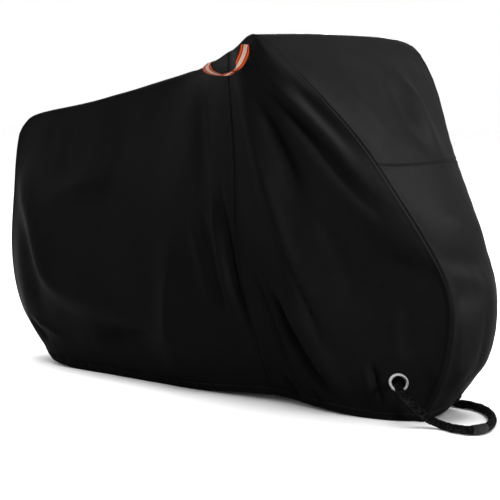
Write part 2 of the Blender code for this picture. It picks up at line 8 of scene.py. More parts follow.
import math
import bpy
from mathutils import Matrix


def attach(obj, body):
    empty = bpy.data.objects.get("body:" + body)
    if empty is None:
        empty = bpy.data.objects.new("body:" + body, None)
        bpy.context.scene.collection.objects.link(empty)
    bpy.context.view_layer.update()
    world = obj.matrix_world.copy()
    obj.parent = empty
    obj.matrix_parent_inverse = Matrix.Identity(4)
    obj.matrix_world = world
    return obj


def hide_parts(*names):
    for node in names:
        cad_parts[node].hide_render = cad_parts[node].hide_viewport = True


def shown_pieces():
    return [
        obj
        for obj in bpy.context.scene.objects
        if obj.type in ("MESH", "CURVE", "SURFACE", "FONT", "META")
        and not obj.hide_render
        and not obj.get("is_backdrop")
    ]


bl_info = {
    "name": "Bicycle Cover",
    "version": (1, 0, 0),
    "blender": (4, 5, 0),
    "location": "3D View > Sidebar > Cover",
    "description": "Builds the fitted bicycle cover, its rope and its studio",
    "category": "Add Mesh",
}

import bpy
import numpy as np
from bpy.props import FloatProperty, FloatVectorProperty, PointerProperty
from mathutils import Vector, noise
from mathutils.bvhtree import BVHTree

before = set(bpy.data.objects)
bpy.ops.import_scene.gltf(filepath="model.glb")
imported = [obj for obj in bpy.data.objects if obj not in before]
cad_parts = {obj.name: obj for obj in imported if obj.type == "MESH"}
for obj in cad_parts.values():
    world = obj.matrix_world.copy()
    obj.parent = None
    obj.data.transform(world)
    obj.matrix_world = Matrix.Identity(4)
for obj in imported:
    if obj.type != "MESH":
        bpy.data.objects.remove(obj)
bpy.ops.object.select_all(action="DESELECT")
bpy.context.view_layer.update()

SHIFT = np.array((0.0432, 0.0092, 0.0))

# ---------------------------------------------------------------- the drape's own sizes
BAR_TURN = 0.05               # the handlebar's near end points a little forward
STEER_SHIFT = 0.028           # the front wheel stands a little towards the far side
FAR_HEM_LIFT = 0.028          # and the hem rides up there
SEAM_STATION = 5              # the vertical side seam
CROSS_LEVEL = 2               # the seam across the front panel
SHOULDER = 2                  # the level whose x spaces the sections

# Heights of the levels, as a share of each section's height
LEVELS = (1.0, 0.92, 0.69, 0.38, 0.16, 0.0)

# Sections of one side, tail to front seam: (x, half width) at each level, and heights of top and hem.
#   name,          z_top, z_hem, top,          brow,         shoulder,     waist,        knee,         hem
SECTIONS = (
    ("tail",       0.773, 0.045, (-0.820, 0.030), (-0.865, 0.032), (-0.888, 0.036), (-0.896, 0.042),
     (-0.850, 0.042), (-0.748, 0.036)),
    ("rear rim",   0.792, 0.014, (-0.680, 0.030), (-0.708, 0.052), (-0.755, 0.088), (-0.775, 0.108),
     (-0.740, 0.104), (-0.655, 0.085)),
    ("rear axle",  0.819, 0.000, (-0.510, 0.032), (-0.520, 0.062), (-0.550, 0.118), (-0.565, 0.150),
     (-0.545, 0.138), (-0.500, 0.095)),
    ("saddle",     0.861, 0.000, (-0.300, 0.036), (-0.305, 0.070), (-0.310, 0.138), (-0.310, 0.182),
     (-0.300, 0.166), (-0.280, 0.100)),
    ("frame",      0.906, 0.004, (-0.090, 0.058), (-0.085, 0.104), (-0.070, 0.182), (-0.050, 0.216),
     (-0.040, 0.190), (-0.030, 0.112)),
    ("side seam",  0.951, 0.018, (0.177, 0.245), (0.186, 0.256), (0.207, 0.258), (0.218, 0.237),
     (0.222, 0.176), (0.226, 0.102)),
    ("bar rear",   0.961, 0.010, (0.272, 0.338), (0.292, 0.361), (0.345, 0.314), (0.385, 0.248),
     (0.400, 0.190), (0.400, 0.115)),
    ("bar end",    0.986, 0.000, (0.335, 0.370), (0.372, 0.384), (0.468, 0.284), (0.560, 0.192),
     (0.575, 0.166), (0.560, 0.125)),
    ("eyelet",     0.983, 0.000, (0.372, 0.386), (0.422, 0.372), (0.548, 0.254), (0.672, 0.156),
     (0.668, 0.132), (0.632, 0.112)),
    ("front seam", 0.962, 0.000, (0.398, 0.384), (0.474, 0.346), (0.626, 0.208), (0.768, 0.112),
     (0.760, 0.104), (0.670, 0.086)),
)

# Crest of the centre strip over each section: rise over its edges, step forward, and how square it is
CREST = (
    ("tail",       0.004, -0.012, 2.0),
    ("rear rim",   0.010, 0.0, 2.0),
    ("rear axle",  0.011, 0.0, 2.0),
    ("saddle",     0.012, 0.0, 2.0),
    ("frame",      0.012, 0.0, 2.0),
    ("side seam",  0.006, 0.0, 2.5),
    ("bar rear",   0.006, 0.0, 3.0),
    ("bar end",    0.006, 0.006, 4.0),
    ("eyelet",     0.012, 0.008, 5.0),
    ("front seam", 0.034, 0.010, 6.0),
)

# How far the front panel stands forward of its two seams in the middle, at each level
FRONT_BULGE = (0.020, 0.034, 0.034, 0.046, 0.042, 0.024)

# Folds on a side, seen from that side: start and end (x, z), half width, and height (a trough is
# negative). Each one fades towards its ends by the share "fade" of its length.
#   name,                  start,          end,            half width, height, fade
NEAR_FOLDS = (
    ("seam ridge",         (0.13, 0.50), (0.18, 0.22), 0.030, 0.011, 0.40),
    ("seam trough",        (0.16, 0.50), (0.21, 0.16), 0.024, -0.012, 0.40),
    ("long ridge",         (0.30, 0.84), (0.42, 0.28), 0.042, 0.015, 0.30),
    ("long valley",        (0.37, 0.86), (0.44, 0.52), 0.036, -0.015, 0.35),
    ("pedal crease",       (0.32, 0.32), (0.45, 0.05), 0.022, -0.014, 0.30),
    ("pedal crease lip",   (0.36, 0.34), (0.49, 0.07), 0.026, 0.011, 0.30),
    ("lens trough",        (0.47, 0.87), (0.63, 0.66), 0.026, -0.011, 0.30),
    ("bar ridge",          (0.42, 0.88), (0.62, 0.60), 0.026, 0.009, 0.25),
    ("bar crease",         (0.40, 0.86), (0.65, 0.52), 0.022, -0.009, 0.30),
    ("knee ridge",         (0.45, 0.76), (0.72, 0.42), 0.045, 0.009, 0.35),
    ("wheel tuck",         (0.62, 0.42), (0.76, 0.38), 0.034, -0.010, 0.35),
    ("rim ridge upper",    (-0.84, 0.60), (-0.60, 0.28), 0.045, 0.013, 0.30),
    ("rim ridge lower",    (-0.68, 0.30), (-0.22, 0.19), 0.045, 0.013, 0.30),
    ("tail hollow",        (-0.80, 0.46), (-0.64, 0.14), 0.045, -0.010, 0.35),
    ("rear hollow",        (-0.40, 0.15), (-0.14, 0.11), 0.045, -0.014, 0.35),
    ("saddle drape",       (-0.66, 0.53), (-0.32, 0.61), 0.040, 0.007, 0.40),
    ("frame drape",        (-0.05, 0.44), (-0.08, 0.06), 0.042, 0.011, 0.30),
    ("saddle trough",      (-0.03, 0.89), (0.10, 0.58), 0.042, -0.011, 0.35),
)
FAR_FOLDS = (
    ("seam trough",        (0.12, 0.52), (0.20, 0.14), 0.034, -0.012, 0.40),
    ("seam ridge",         (0.04, 0.62), (0.12, 0.22), 0.040, 0.012, 0.40),
    ("long ridge",         (0.28, 0.82), (0.36, 0.20), 0.044, 0.015, 0.35),
    ("long valley",        (0.35, 0.84), (0.50, 0.40), 0.044, -0.014, 0.35),
    ("pedal crease",       (0.42, 0.40), (0.50, 0.06), 0.030, -0.012, 0.30),
    ("bar ridge",          (0.42, 0.86), (0.62, 0.56), 0.032, 0.010, 0.30),
    ("rim ridge",          (-0.82, 0.44), (-0.36, 0.22), 0.052, 0.013, 0.30),
    ("rear hollow",        (-0.40, 0.26), (-0.18, 0.10), 0.052, -0.014, 0.35),
    ("saddle drape",       (-0.50, 0.66), (-0.26, 0.30), 0.044, -0.010, 0.40),
    ("frame drape",        (-0.10, 0.70), (-0.12, 0.10), 0.044, 0.010, 0.30),
)
# Folds on the front panel, seen from the front: start and end are (y, z)
FRONT_FOLDS = (
    ("upper trough",       (0.03, 0.90), (0.01, 0.68), 0.034, -0.012, 0.35),
    ("upper ridge",        (0.11, 0.90), (0.07, 0.68), 0.034, 0.009, 0.35),
    ("brow over wheel",    (-0.10, 0.53), (0.12, 0.50), 0.040, 0.008, 0.30),
    ("tuck over wheel",    (-0.11, 0.43), (0.12, 0.40), 0.034, -0.012, 0.30),
    ("wheel ridge",        (-0.03, 0.32), (-0.02, 0.08), 0.024, 0.006, 0.30),
)

# Creases in the cloth, drawn as lines on a side: places (x, z), half width, height, and how sharp
# the crease is (2 is round, 1 comes to an edge)
NEAR_CREASES = (
    ("hem crease",         ((0.305, 0.345), (0.350, 0.258), (0.393, 0.158), (0.452, 0.030)),
     0.012, -0.014, 1.3),
    ("hem crease lip",     ((0.330, 0.345), (0.374, 0.260), (0.416, 0.165), (0.478, 0.040)),
     0.014, 0.010, 1.8),
    ("eyelet crease",      ((0.578, 0.165), (0.582, 0.095), (0.590, 0.020)), 0.010, -0.014, 1.3),
    ("eyelet lip",         ((0.560, 0.160), (0.565, 0.095), (0.572, 0.030)), 0.010, 0.005, 1.8),
    ("seam ridge",         ((0.110, 0.620), (0.150, 0.430), (0.186, 0.190)), 0.013, 0.010, 1.6),
    ("seam trough",        ((0.150, 0.640), (0.184, 0.400), (0.208, 0.130)), 0.010, -0.012, 1.4),
    ("outer seam fold",    ((0.070, 0.560), (0.118, 0.380), (0.146, 0.190)), 0.015, -0.009, 1.6),
    ("second seam ridge",  ((0.020, 0.520), (0.078, 0.360), (0.105, 0.180)), 0.020, 0.006, 1.8),
    ("long ridge",         ((0.325, 0.780), (0.380, 0.540), (0.432, 0.260)), 0.015, 0.010, 1.6),
    ("thin crease",        ((0.370, 0.520), (0.417, 0.339), (0.470, 0.150)), 0.009, -0.010, 1.2),
    ("fan crease",         ((0.262, 0.420), (0.300, 0.260), (0.345, 0.060)), 0.010, -0.008, 1.4),
    ("fan lip",            ((0.285, 0.400), (0.325, 0.250), (0.366, 0.070)), 0.012, 0.006, 1.8),
    ("long valley",        ((0.350, 0.860), (0.398, 0.720), (0.446, 0.560)), 0.020, -0.010, 1.8),
    ("bar crease",         ((0.395, 0.870), (0.480, 0.735), (0.555, 0.622), (0.655, 0.515)),
     0.012, -0.012, 1.3),
    ("bar ridge",          ((0.415, 0.895), (0.515, 0.770), (0.630, 0.620)), 0.016, 0.007, 1.6),
    ("lens trough",        ((0.465, 0.880), (0.545, 0.765), (0.625, 0.645)), 0.015, -0.008, 1.7),
    ("wheel ridge",        ((0.767, 0.326), (0.761, 0.211), (0.714, 0.075)), 0.014, 0.005, 1.8),
    ("crescent ridge",     ((-0.763, 0.513), (-0.679, 0.350), (-0.550, 0.236), (-0.383, 0.196),
                            (-0.226, 0.186)), 0.036, 0.012, 2.2),
    ("crescent hollow",    ((-0.420, 0.110), (-0.263, 0.139), (-0.100, 0.150)), 0.024, -0.010, 1.7),
    ("tail line upper",    ((-0.775, 0.150), (-0.640, 0.070)), 0.011, -0.008, 1.4),
    ("tail line lower",    ((-0.740, 0.150), (-0.560, 0.095)), 0.012, 0.007, 1.6),
    ("saddle drape",       ((-0.640, 0.540), (-0.490, 0.580), (-0.340, 0.612)), 0.030, 0.004, 2.0),
    ("frame drape",        ((-0.043, 0.397), (-0.070, 0.250), (-0.089, 0.096)), 0.022, 0.005, 1.8),
    ("saddle trough",      ((-0.005, 0.853), (0.030, 0.755), (0.070, 0.649)), 0.030, -0.005, 2.0),
    ("hem gather",         ((0.290, 0.095), (0.312, 0.055), (0.336, 0.015)), 0.008, -0.008, 1.3),
    ("hem gather lip",     ((0.308, 0.095), (0.330, 0.055), (0.352, 0.020)), 0.009, 0.005, 1.8),
    ("hem gather front",   ((0.380, 0.070), (0.394, 0.040), (0.405, 0.010)), 0.007, -0.007, 1.3),
    ("knee fold",          ((0.470, 0.560), (0.520, 0.430), (0.548, 0.290)), 0.022, -0.006, 1.7),
    ("shin fold",          ((0.650, 0.330), (0.640, 0.220), (0.655, 0.120)), 0.016, 0.004, 1.8),
)
FAR_CREASES = (
    ("seam trough",        ((0.128, 0.520), (0.168, 0.350), (0.200, 0.150)), 0.011, -0.005, 1.5),
    ("seam ridge",         ((0.060, 0.600), (0.092, 0.420), (0.122, 0.230)), 0.014, 0.005, 1.7),
    ("long ridge",         ((0.288, 0.800), (0.330, 0.500), (0.352, 0.230)), 0.016, 0.005, 1.7),
    ("long valley",        ((0.360, 0.820), (0.430, 0.600), (0.496, 0.410)), 0.014, -0.006, 1.4),
    ("hem crease",         ((0.425, 0.380), (0.466, 0.220), (0.498, 0.070)), 0.010, -0.006, 1.3),
    ("bar ridge",          ((0.430, 0.850), (0.530, 0.700), (0.610, 0.570)), 0.013, 0.005, 1.7),
    ("bar crease",         ((0.470, 0.850), (0.560, 0.710), (0.650, 0.590)), 0.011, -0.005, 1.4),
    ("crescent ridge",     ((-0.800, 0.430), (-0.640, 0.310), (-0.470, 0.245), (-0.350, 0.225)),
     0.020, 0.006, 1.6),
    ("rear hollow",        ((-0.420, 0.250), (-0.300, 0.170), (-0.170, 0.100)), 0.022, -0.006, 1.7),
    ("tail line",          ((-0.745, 0.170), (-0.600, 0.090)), 0.011, -0.004, 1.4),
    ("frame drape",        ((-0.100, 0.660), (-0.112, 0.400), (-0.120, 0.130)), 0.020, 0.005, 1.8),
)
FRONT_CREASES = (
    ("upper trough",       ((0.000, 0.900), (-0.005, 0.840), (-0.020, 0.775), (-0.060, 0.700)),
     0.038, -0.010, 2.0),
    ("upper ridge",        ((0.085, 0.900), (0.090, 0.840), (0.065, 0.775), (0.005, 0.700)),
     0.032, 0.011, 2.0),
    ("near drop",          ((-0.190, 0.880), (-0.150, 0.790), (-0.105, 0.700)), 0.034, 0.006, 1.8),
    ("under the brow",     ((-0.100, 0.350), (-0.040, 0.342), (0.045, 0.348)), 0.048, -0.011, 2.0),
    ("wheel ridge",        ((-0.062, 0.340), (-0.055, 0.198), (-0.035, 0.080)), 0.016, 0.009, 1.8),
    ("wheel crease",       ((0.020, 0.330), (0.012, 0.220), (0.022, 0.110)), 0.010, -0.004, 1.5),
)
# Creases on the centre strip, seen from above: places (x, y)
TOP_CREASES = (
    ("bar pull near",      ((0.330, -0.250), (0.230, -0.140), (0.100, -0.070)), 0.018, -0.002, 1.6),
    ("bar pull far",       ((0.330, 0.250), (0.230, 0.150), (0.090, 0.070)), 0.018, -0.005, 1.6),
    ("stem ridge",         ((0.360, 0.010), (0.240, 0.006), (0.060, 0.002)), 0.022, 0.005, 1.7),
    ("saddle dip",         ((-0.080, -0.030), (-0.120, 0.010), (-0.130, 0.050)), 0.018, -0.004, 1.8),
)

# Eyelets: centre and outward direction
EYELETS = {
    "near": (Vector((0.638, -0.1073, 0.104)), Vector((0.398, -0.8964, -0.195)).normalized()),
    "far": (Vector((0.638, 0.1543, 0.104)), Vector((0.2773, 0.927, -0.2524)).normalized()),
}
EYELET_HOLE = 0.017
EYELET_BARREL = 0.0195
EYELET_FLANGE = 0.0275
EYELET_FLAT = 0.058           # the cloth is flat this far round an eyelet,
EYELET_BLEND = 0.105          # and hangs freely from here on
EYELET_CALM = 0.032           # creases and seams stay this far off an eyelet's middle
EYELET_CALM_BLEND = 0.055

# Webbing handle: places along it, from its rear end to its front end, as (x, z) on the near side,
# how far it stands off the cloth, and where its face points
STRAP_PLACES = (
    ("rear end",   0.0100, 0.9250, 0.003, (-0.20, -0.40, 0.90)),
    ("rear sewn",  0.0300, 0.9125, 0.009, (-0.05, -0.35, 0.93)),
    ("rear drop",  0.0800, 0.8985, 0.015, (0.05, -0.30, 0.95)),
    ("rear bow",   0.1570, 0.8905, 0.018, (0.10, -0.20, 0.97)),
    ("low rear",   0.2375, 0.8895, 0.020, (0.12, -0.16, 0.98)),
    ("lowest",     0.3150, 0.8934, 0.021, (0.12, -0.20, 0.97)),
    ("low front",  0.3397, 0.9023, 0.021, (0.20, -0.45, 0.87)),
    ("twist",      0.3523, 0.9135, 0.017, (0.35, -0.80, 0.48)),
    ("front rise", 0.3569, 0.9285, 0.011, (0.46, -0.86, 0.20)),
    ("front sewn", 0.3576, 0.9447, 0.007, (0.48, -0.87, 0.12)),
    ("front end",  0.3540, 0.9615, 0.004, (0.48, -0.87, 0.12)),
)

# The rope's loose loop on the ground, from the near eyelet round to the far one: (x, y, z)
ROPE_LOOP = (
    (0.684, -0.158, 0.086),
    (0.712, -0.140, 0.054),
    (0.736, -0.118, 0.024),
    (0.772, -0.108, 0.0110),
    (0.818, -0.121, 0.0110),
    (0.860, -0.116, 0.0129),
    (0.873, -0.074, 0.0129),
    (0.861, -0.026, 0.0112),
    (0.836, 0.028, 0.0108),
    (0.795, 0.087, 0.0108),
    (0.749, 0.130, 0.0108),
    (0.709, 0.148, 0.0108),
    (0.672, 0.151, 0.0108),
    (0.638, 0.157, 0.0120),
    (0.614, 0.177, 0.028),
    (0.608, 0.197, 0.058),
    (0.622, 0.200, 0.087),
)
# and back inside the cloth, sagging between the eyelets
ROPE_INSIDE = (
    (0.610, 0.080, 0.100),
    (0.596, 0.020, 0.082),
    (0.600, -0.030, 0.084),
)
ROPE_RADIUS = 0.0105
ROPE_PLAY = 0.0006            # between the rope and the eyelet that it lies on
ROPE_INNER_END = 0.004        # its ends meet this far inside the near eyelet
ROPE_LEAD = 0.012             # straight on both sides of an eyelet
ROPE_STEP = 0.021             # between the points of its route
SLEEVE_STEP = 0.0016          # between the rings of its gathered sleeve
SLEEVE_AROUND = 40
SLEEVE_MEAN = 0.0099          # the sleeve's radius
SLEEVE_LEAST = 0.0078
SLEEVE_MOST = 0.0115
SLEEVE_END = 0.02             # length at each end that is held slimmer
SLEEVE_END_MOST = 0.0103
SLEEVE_CALM = 0.03            # its gathers get lower from this near an eyelet
BAND_PLACE = 0.275            # the joint's share of the whole route, from the near eyelet
BAND_STEPS = 19
BAND_AROUND = 36
BAND_OUTER = 0.0127
BAND_INNER = 0.0109

# Columns between two sections and rows between two levels of the fine cloth
COLUMNS_PER_SPAN = (24, 34, 38, 40, 50, 28, 26, 20, 22)
ROWS_PER_SPAN = (13, 34, 46, 34, 26)
SPINE_ACROSS = 72
SEAM_OFFSETS = (0.0014, 0.003, 0.005, 0.008)
HEM_OFFSETS = (0.0012, 0.0028, 0.0055, 0.010, 0.015, 0.019, 0.0215, 0.0235, 0.0255, 0.029)
HEM_HEIGHT = 0.0235           # the hem's row of stitches
SIDE_LENGTH = 0.93            # usual length of a side, from its top to its hem
ROW_CLEARANCE = 0.0016        # plain rows and columns keep this far from the extra ones
CLOTH_FLOOR = 0.0012          # the cloth's outer face reaches no lower
STRIP_FILL = 0.35             # the centre strip's share of its flat rectangle

ROUNDING_STEPS = 160
TAIL_EASE = 0.034             # reach of the rounding at the tail's top corner

# Shallow waves of hanging cloth: how often across and up, where the pattern starts, and height
WAVES = (
    ("broad", 6.0, 2.6, (0.0, 0.0, 0.0), 0.0060),
    ("small", 17.0, 7.0, (5.0, 0.0, 0.0), 0.0012),
    ("tiny",  41.0, 21.0, (0.0, 3.0, 0.0), 0.0003),
)

# How deep each seam sinks, and how high the cloth rolls beside it
SEAM_LINES = (("side", 0.0016, 0.0010), ("ridge", 0.0012, 0.0010), ("corner", 0.0012, 0.0014),
              ("cross", 0.0018, 0.0014))
SEAM_WIDTH = 0.0022
ROLL_PLACE = 0.0065
ROLL_WIDTH = 0.0035
SEAM_PUCKERS = (("side", 0.6), ("corner", 0.4), ("cross", 0.5), ("ridge", 0.12))
PUCKER_PITCH = 0.041
RIB_HEIGHT = 0.0075           # low down the front seams stand out as ribs
RIB_SPREAD = 0.010
RIB_SPREAD_FRONT = 0.022
HEM_BAND = 0.0028             # how far the turned hem stands out
HEM_GROOVE = 0.0007           # and its row of stitches sinks in
GATHER_PITCH = 0.034
FINE_GATHER_PITCH = 0.019

STRAP_STEPS = 170
STRAP_ACROSS = 17
STRAP_CLEARANCE = 0.0007      # between the webbing and the cloth

# Rows of stitches: length from their seam
SIDE_STITCHES = 0.0052
CORNER_STITCHES = (0.0042, 0.0125)
RIDGE_STITCHES = 0.0055
CROSS_STITCHES = 0.0050
STITCH_HALF_LENGTH = 0.36     # as a share of the pitch
STITCH_HALF_WIDTH = 0.00055
STITCH_HALF_HEIGHT = 0.00045
STITCH_LIFT = 0.00018
STITCH_LOOK = 0.002           # a stitch's direction is read this far ahead and behind
STITCH_GAP = 0.034            # no stitch lies nearer to an eyelet's middle

# The camera: degrees round and above, distance, aim, and focal length in pixels of the picture
CAMERA_TURN = 39.0
CAMERA_LIFT = 5.86
CAMERA_AWAY = 4.2
CAMERA_AIM = (0.1032, 0.0092, 0.40)
CAMERA_FOCAL = 1475.0
PICTURE_WIDTH = 500.0
SENSOR_WIDTH = 36.0

# Soft lights: place, aim, width and power. They light only the cloth and its stitches
SOFTBOXES = (
    ("front softbox", (3.3, 1.0, 2.5), (0.5, 0.0, 0.7), 1.4, 760.0),
    ("near softbox",  (1.9, -1.9, 2.9), (0.2, 0.0, 0.5), 0.9, 230.0),
    ("low softbox",   (3.1, -0.7, 0.45), (0.7, 0.0, 0.2), 0.6, 150.0),
    ("rear softbox",  (-3.6, -1.0, 1.6), (0.0, 0.0, 0.5), 1.2, 20.0),
    ("far softbox",   (-1.6, 3.2, 1.5), (-0.1, 0.0, 0.5), 0.9, 290.0),
)
FLOOR_SIZE = 60.0
FLOOR_DROP = 0.0006           # the floor lies this far below the ground line
FLOOR_LAMP_HEIGHT = 9.0
FLOOR_LAMP_SIZE = 9.0
FLOOR_LAMP_POWER = 1300.0


# ---------------------------------------------------------------- the user's sizes and colours
class CoverCloth(bpy.types.PropertyGroup):
    colour: FloatVectorProperty(name="Cloth colour", description="Black coated polyester", subtype="COLOR",
                                default=(0.0013, 0.0013, 0.0014))
    thickness: FloatProperty(name="Cloth thickness", description="Sheet of the panels", unit="LENGTH",
                             default=0.0014)
    hem_thickness: FloatProperty(name="Hem thickness", description="Turned and stitched lower edge",
                                 unit="LENGTH", default=0.0034)
    stitch_pitch: FloatProperty(name="Stitch pitch", description="From one stitch to the next",
                                unit="LENGTH", default=0.0046)
    pucker: FloatProperty(name="Hem pucker", description="Height of the hem's small gathers",
                          unit="LENGTH", default=0.0016)


class CoverTrim(bpy.types.PropertyGroup):
    strap_width: FloatProperty(name="Handle width", description="Width of the webbing", unit="LENGTH",
                               default=0.027)
    strap_thickness: FloatProperty(name="Handle thickness", description="Thickness of the webbing",
                                   unit="LENGTH", default=0.0018)
    orange: FloatVectorProperty(name="Webbing edge", description="Outer stripes of the handle",
                                subtype="COLOR", default=(0.58, 0.070, 0.006))
    # Dark red of the printed lines and edges, also mixed into the troughs between the ribs as painted shade
    line_red_and_groove_shade: FloatVectorProperty(name="Webbing line", description="Dark lines of the handle", subtype="COLOR",
                              default=(0.060, 0.007, 0.004))
    silver: FloatVectorProperty(name="Webbing middle", description="Pale middle of the handle",
                                subtype="COLOR", default=(0.66, 0.43, 0.34))
    bunching: FloatProperty(name="Rope bunching", description="Height of the sleeve's gathers",
                            unit="LENGTH", default=0.0026)


# ---------------------------------------------------------------- small helpers
def smoothstep(value, low, high):
    share = np.clip((value - low) / (high - low), 0.0, 1.0)
    return share * share * (3.0 - 2.0 * share)


def curve_through(knots, values, at):
    """Smooth curve through values at unevenly spaced knots, read at many places."""
    knots = np.asarray(knots, float)
    values = np.asarray(values, float)
    at = np.clip(np.asarray(at, float), knots[0], knots[-1])
    last = len(knots) - 1
    count = np.arange(last + 1)
    low = np.maximum(count - 1, 0)
    high = np.minimum(count + 1, last)
    shape = (-1,) + (1,) * (values.ndim - 1)
    slopes = (values[high] - values[low]) / (knots[high] - knots[low]).reshape(shape)
    index = np.searchsorted(knots[1:-1], at, side="left")
    span = (knots[index + 1] - knots[index]).reshape(shape)
    s = (at - knots[index]).reshape(shape) / span
    start = values[index] * (2 * s ** 3 - 3 * s ** 2 + 1)
    end = values[index + 1] * (3 * s ** 2 - 2 * s ** 3)
    leave = slopes[index] * span * (s ** 3 - 2 * s ** 2 + s)
    arrive = slopes[index + 1] * span * (s ** 3 - s ** 2)
    return start + end + leave + arrive


def lengths_along(places):
    """Running length of a line of places, from 0."""
    steps = np.linalg.norm(np.diff(places, axis=0), axis=-1)
    return np.concatenate((np.zeros((1,) + steps.shape[1:]), np.cumsum(steps, axis=0)))


def lengths_across(places):
    """Running length of a grid of places along its second index."""
    return lengths_along(places.transpose(1, 0, 2)).T


def read_along(values, lengths, at):
    """Values of a line, read at other lengths along it."""
    return np.stack([np.interp(at, lengths, values[:, axis]) for axis in range(3)], axis=-1)


def grid_quads(grid, flip):
    """Faces of a grid of point numbers, turned over where flip is set."""
    corners = np.stack((grid[:-1, :-1], grid[1:, :-1], grid[1:, 1:], grid[:-1, 1:]), axis=-1)
    return corners.reshape(-1, 4)[:, ::-1] if flip else corners.reshape(-1, 4)


def unit(vectors):
    return vectors / np.maximum(np.linalg.norm(vectors, axis=-1, keepdims=True), 1e-9)


def fine_places(knots, counts, extra):
    """Places between knots, shared out evenly, with extra ones where seams and the hem need them."""
    places = [np.linspace(knots[i], knots[i + 1], count, endpoint=False) for i, count in enumerate(counts)]
    places = np.concatenate(places + [[knots[-1]]])
    extra = np.asarray(extra)
    kept = [place for place in places
            if place in knots or np.abs(extra - place).min() > ROW_CLEARANCE]
    return np.unique(np.concatenate((kept, extra)))


GIRTH = np.array([row[3 + SHOULDER][0] for row in SECTIONS])
DEPTH = 1.0 - np.array(LEVELS)


def settle(places):
    """The front wheel stands a little to the far side, where the hem also rides up."""
    x, y, z = places[..., 0].copy(), places[..., 1].copy(), places[..., 2].copy()
    forward = smoothstep(x, 0.42, 0.68)
    low = 1.0 - smoothstep(z, 0.28, 0.62)
    hem = 1.0 - smoothstep(z, 0.0, 0.25)
    far = smoothstep(y, -0.05, 0.10)
    high = smoothstep(z, 0.45, 0.75) * smoothstep(x, -0.10, 0.30)
    return np.stack((x - BAR_TURN * high * y, y + STEER_SHIFT * forward * low,
                     z + FAR_HEM_LIFT * forward * hem * far), axis=-1)


def fold_height(row, along, up):
    """Height of one fold at places seen from its side."""
    _, start, end, half_width, height, fade = row
    run = (end[0] - start[0], end[1] - start[1])
    length = math.hypot(*run)
    share = ((along - start[0]) * run[0] + (up - start[1]) * run[1]) / length ** 2
    aside = np.abs((along - start[0]) * run[1] - (up - start[1]) * run[0]) / length
    ends = smoothstep(share, -fade * 0.5, fade) * (1.0 - smoothstep(share, 1.0 - fade, 1.0 + fade * 0.5))
    return height * ends * np.exp(-(aside / half_width) ** 2)


def crease_height(row, along, up):
    """Height of one drawn crease at places seen from its side. It fades out at both ends."""
    _, line, half_width, height, sharp = row
    knots = lengths_along(np.array(line))
    fine = curve_through(knots, line, np.linspace(0.0, knots[-1], 25))
    best = np.full(along.shape, np.inf)
    share = np.zeros(along.shape)
    for step in range(len(fine) - 1):
        start, run = fine[step], fine[step + 1] - fine[step]
        part = ((along - start[0]) * run[0] + (up - start[1]) * run[1]) / (run @ run)
        part = np.clip(part, 0.0, 1.0)
        away = np.hypot(along - start[0] - part * run[0], up - start[1] - part * run[1])
        nearer = away < best
        best = np.where(nearer, away, best)
        share = np.where(nearer, (step + part) / (len(fine) - 1), share)
    ends = smoothstep(share, 0.0, 0.35) * (1.0 - smoothstep(share, 0.65, 1.0))
    width = half_width * (0.7 + 0.6 * share)
    return height * ends * np.exp(-(best / width) ** sharp)


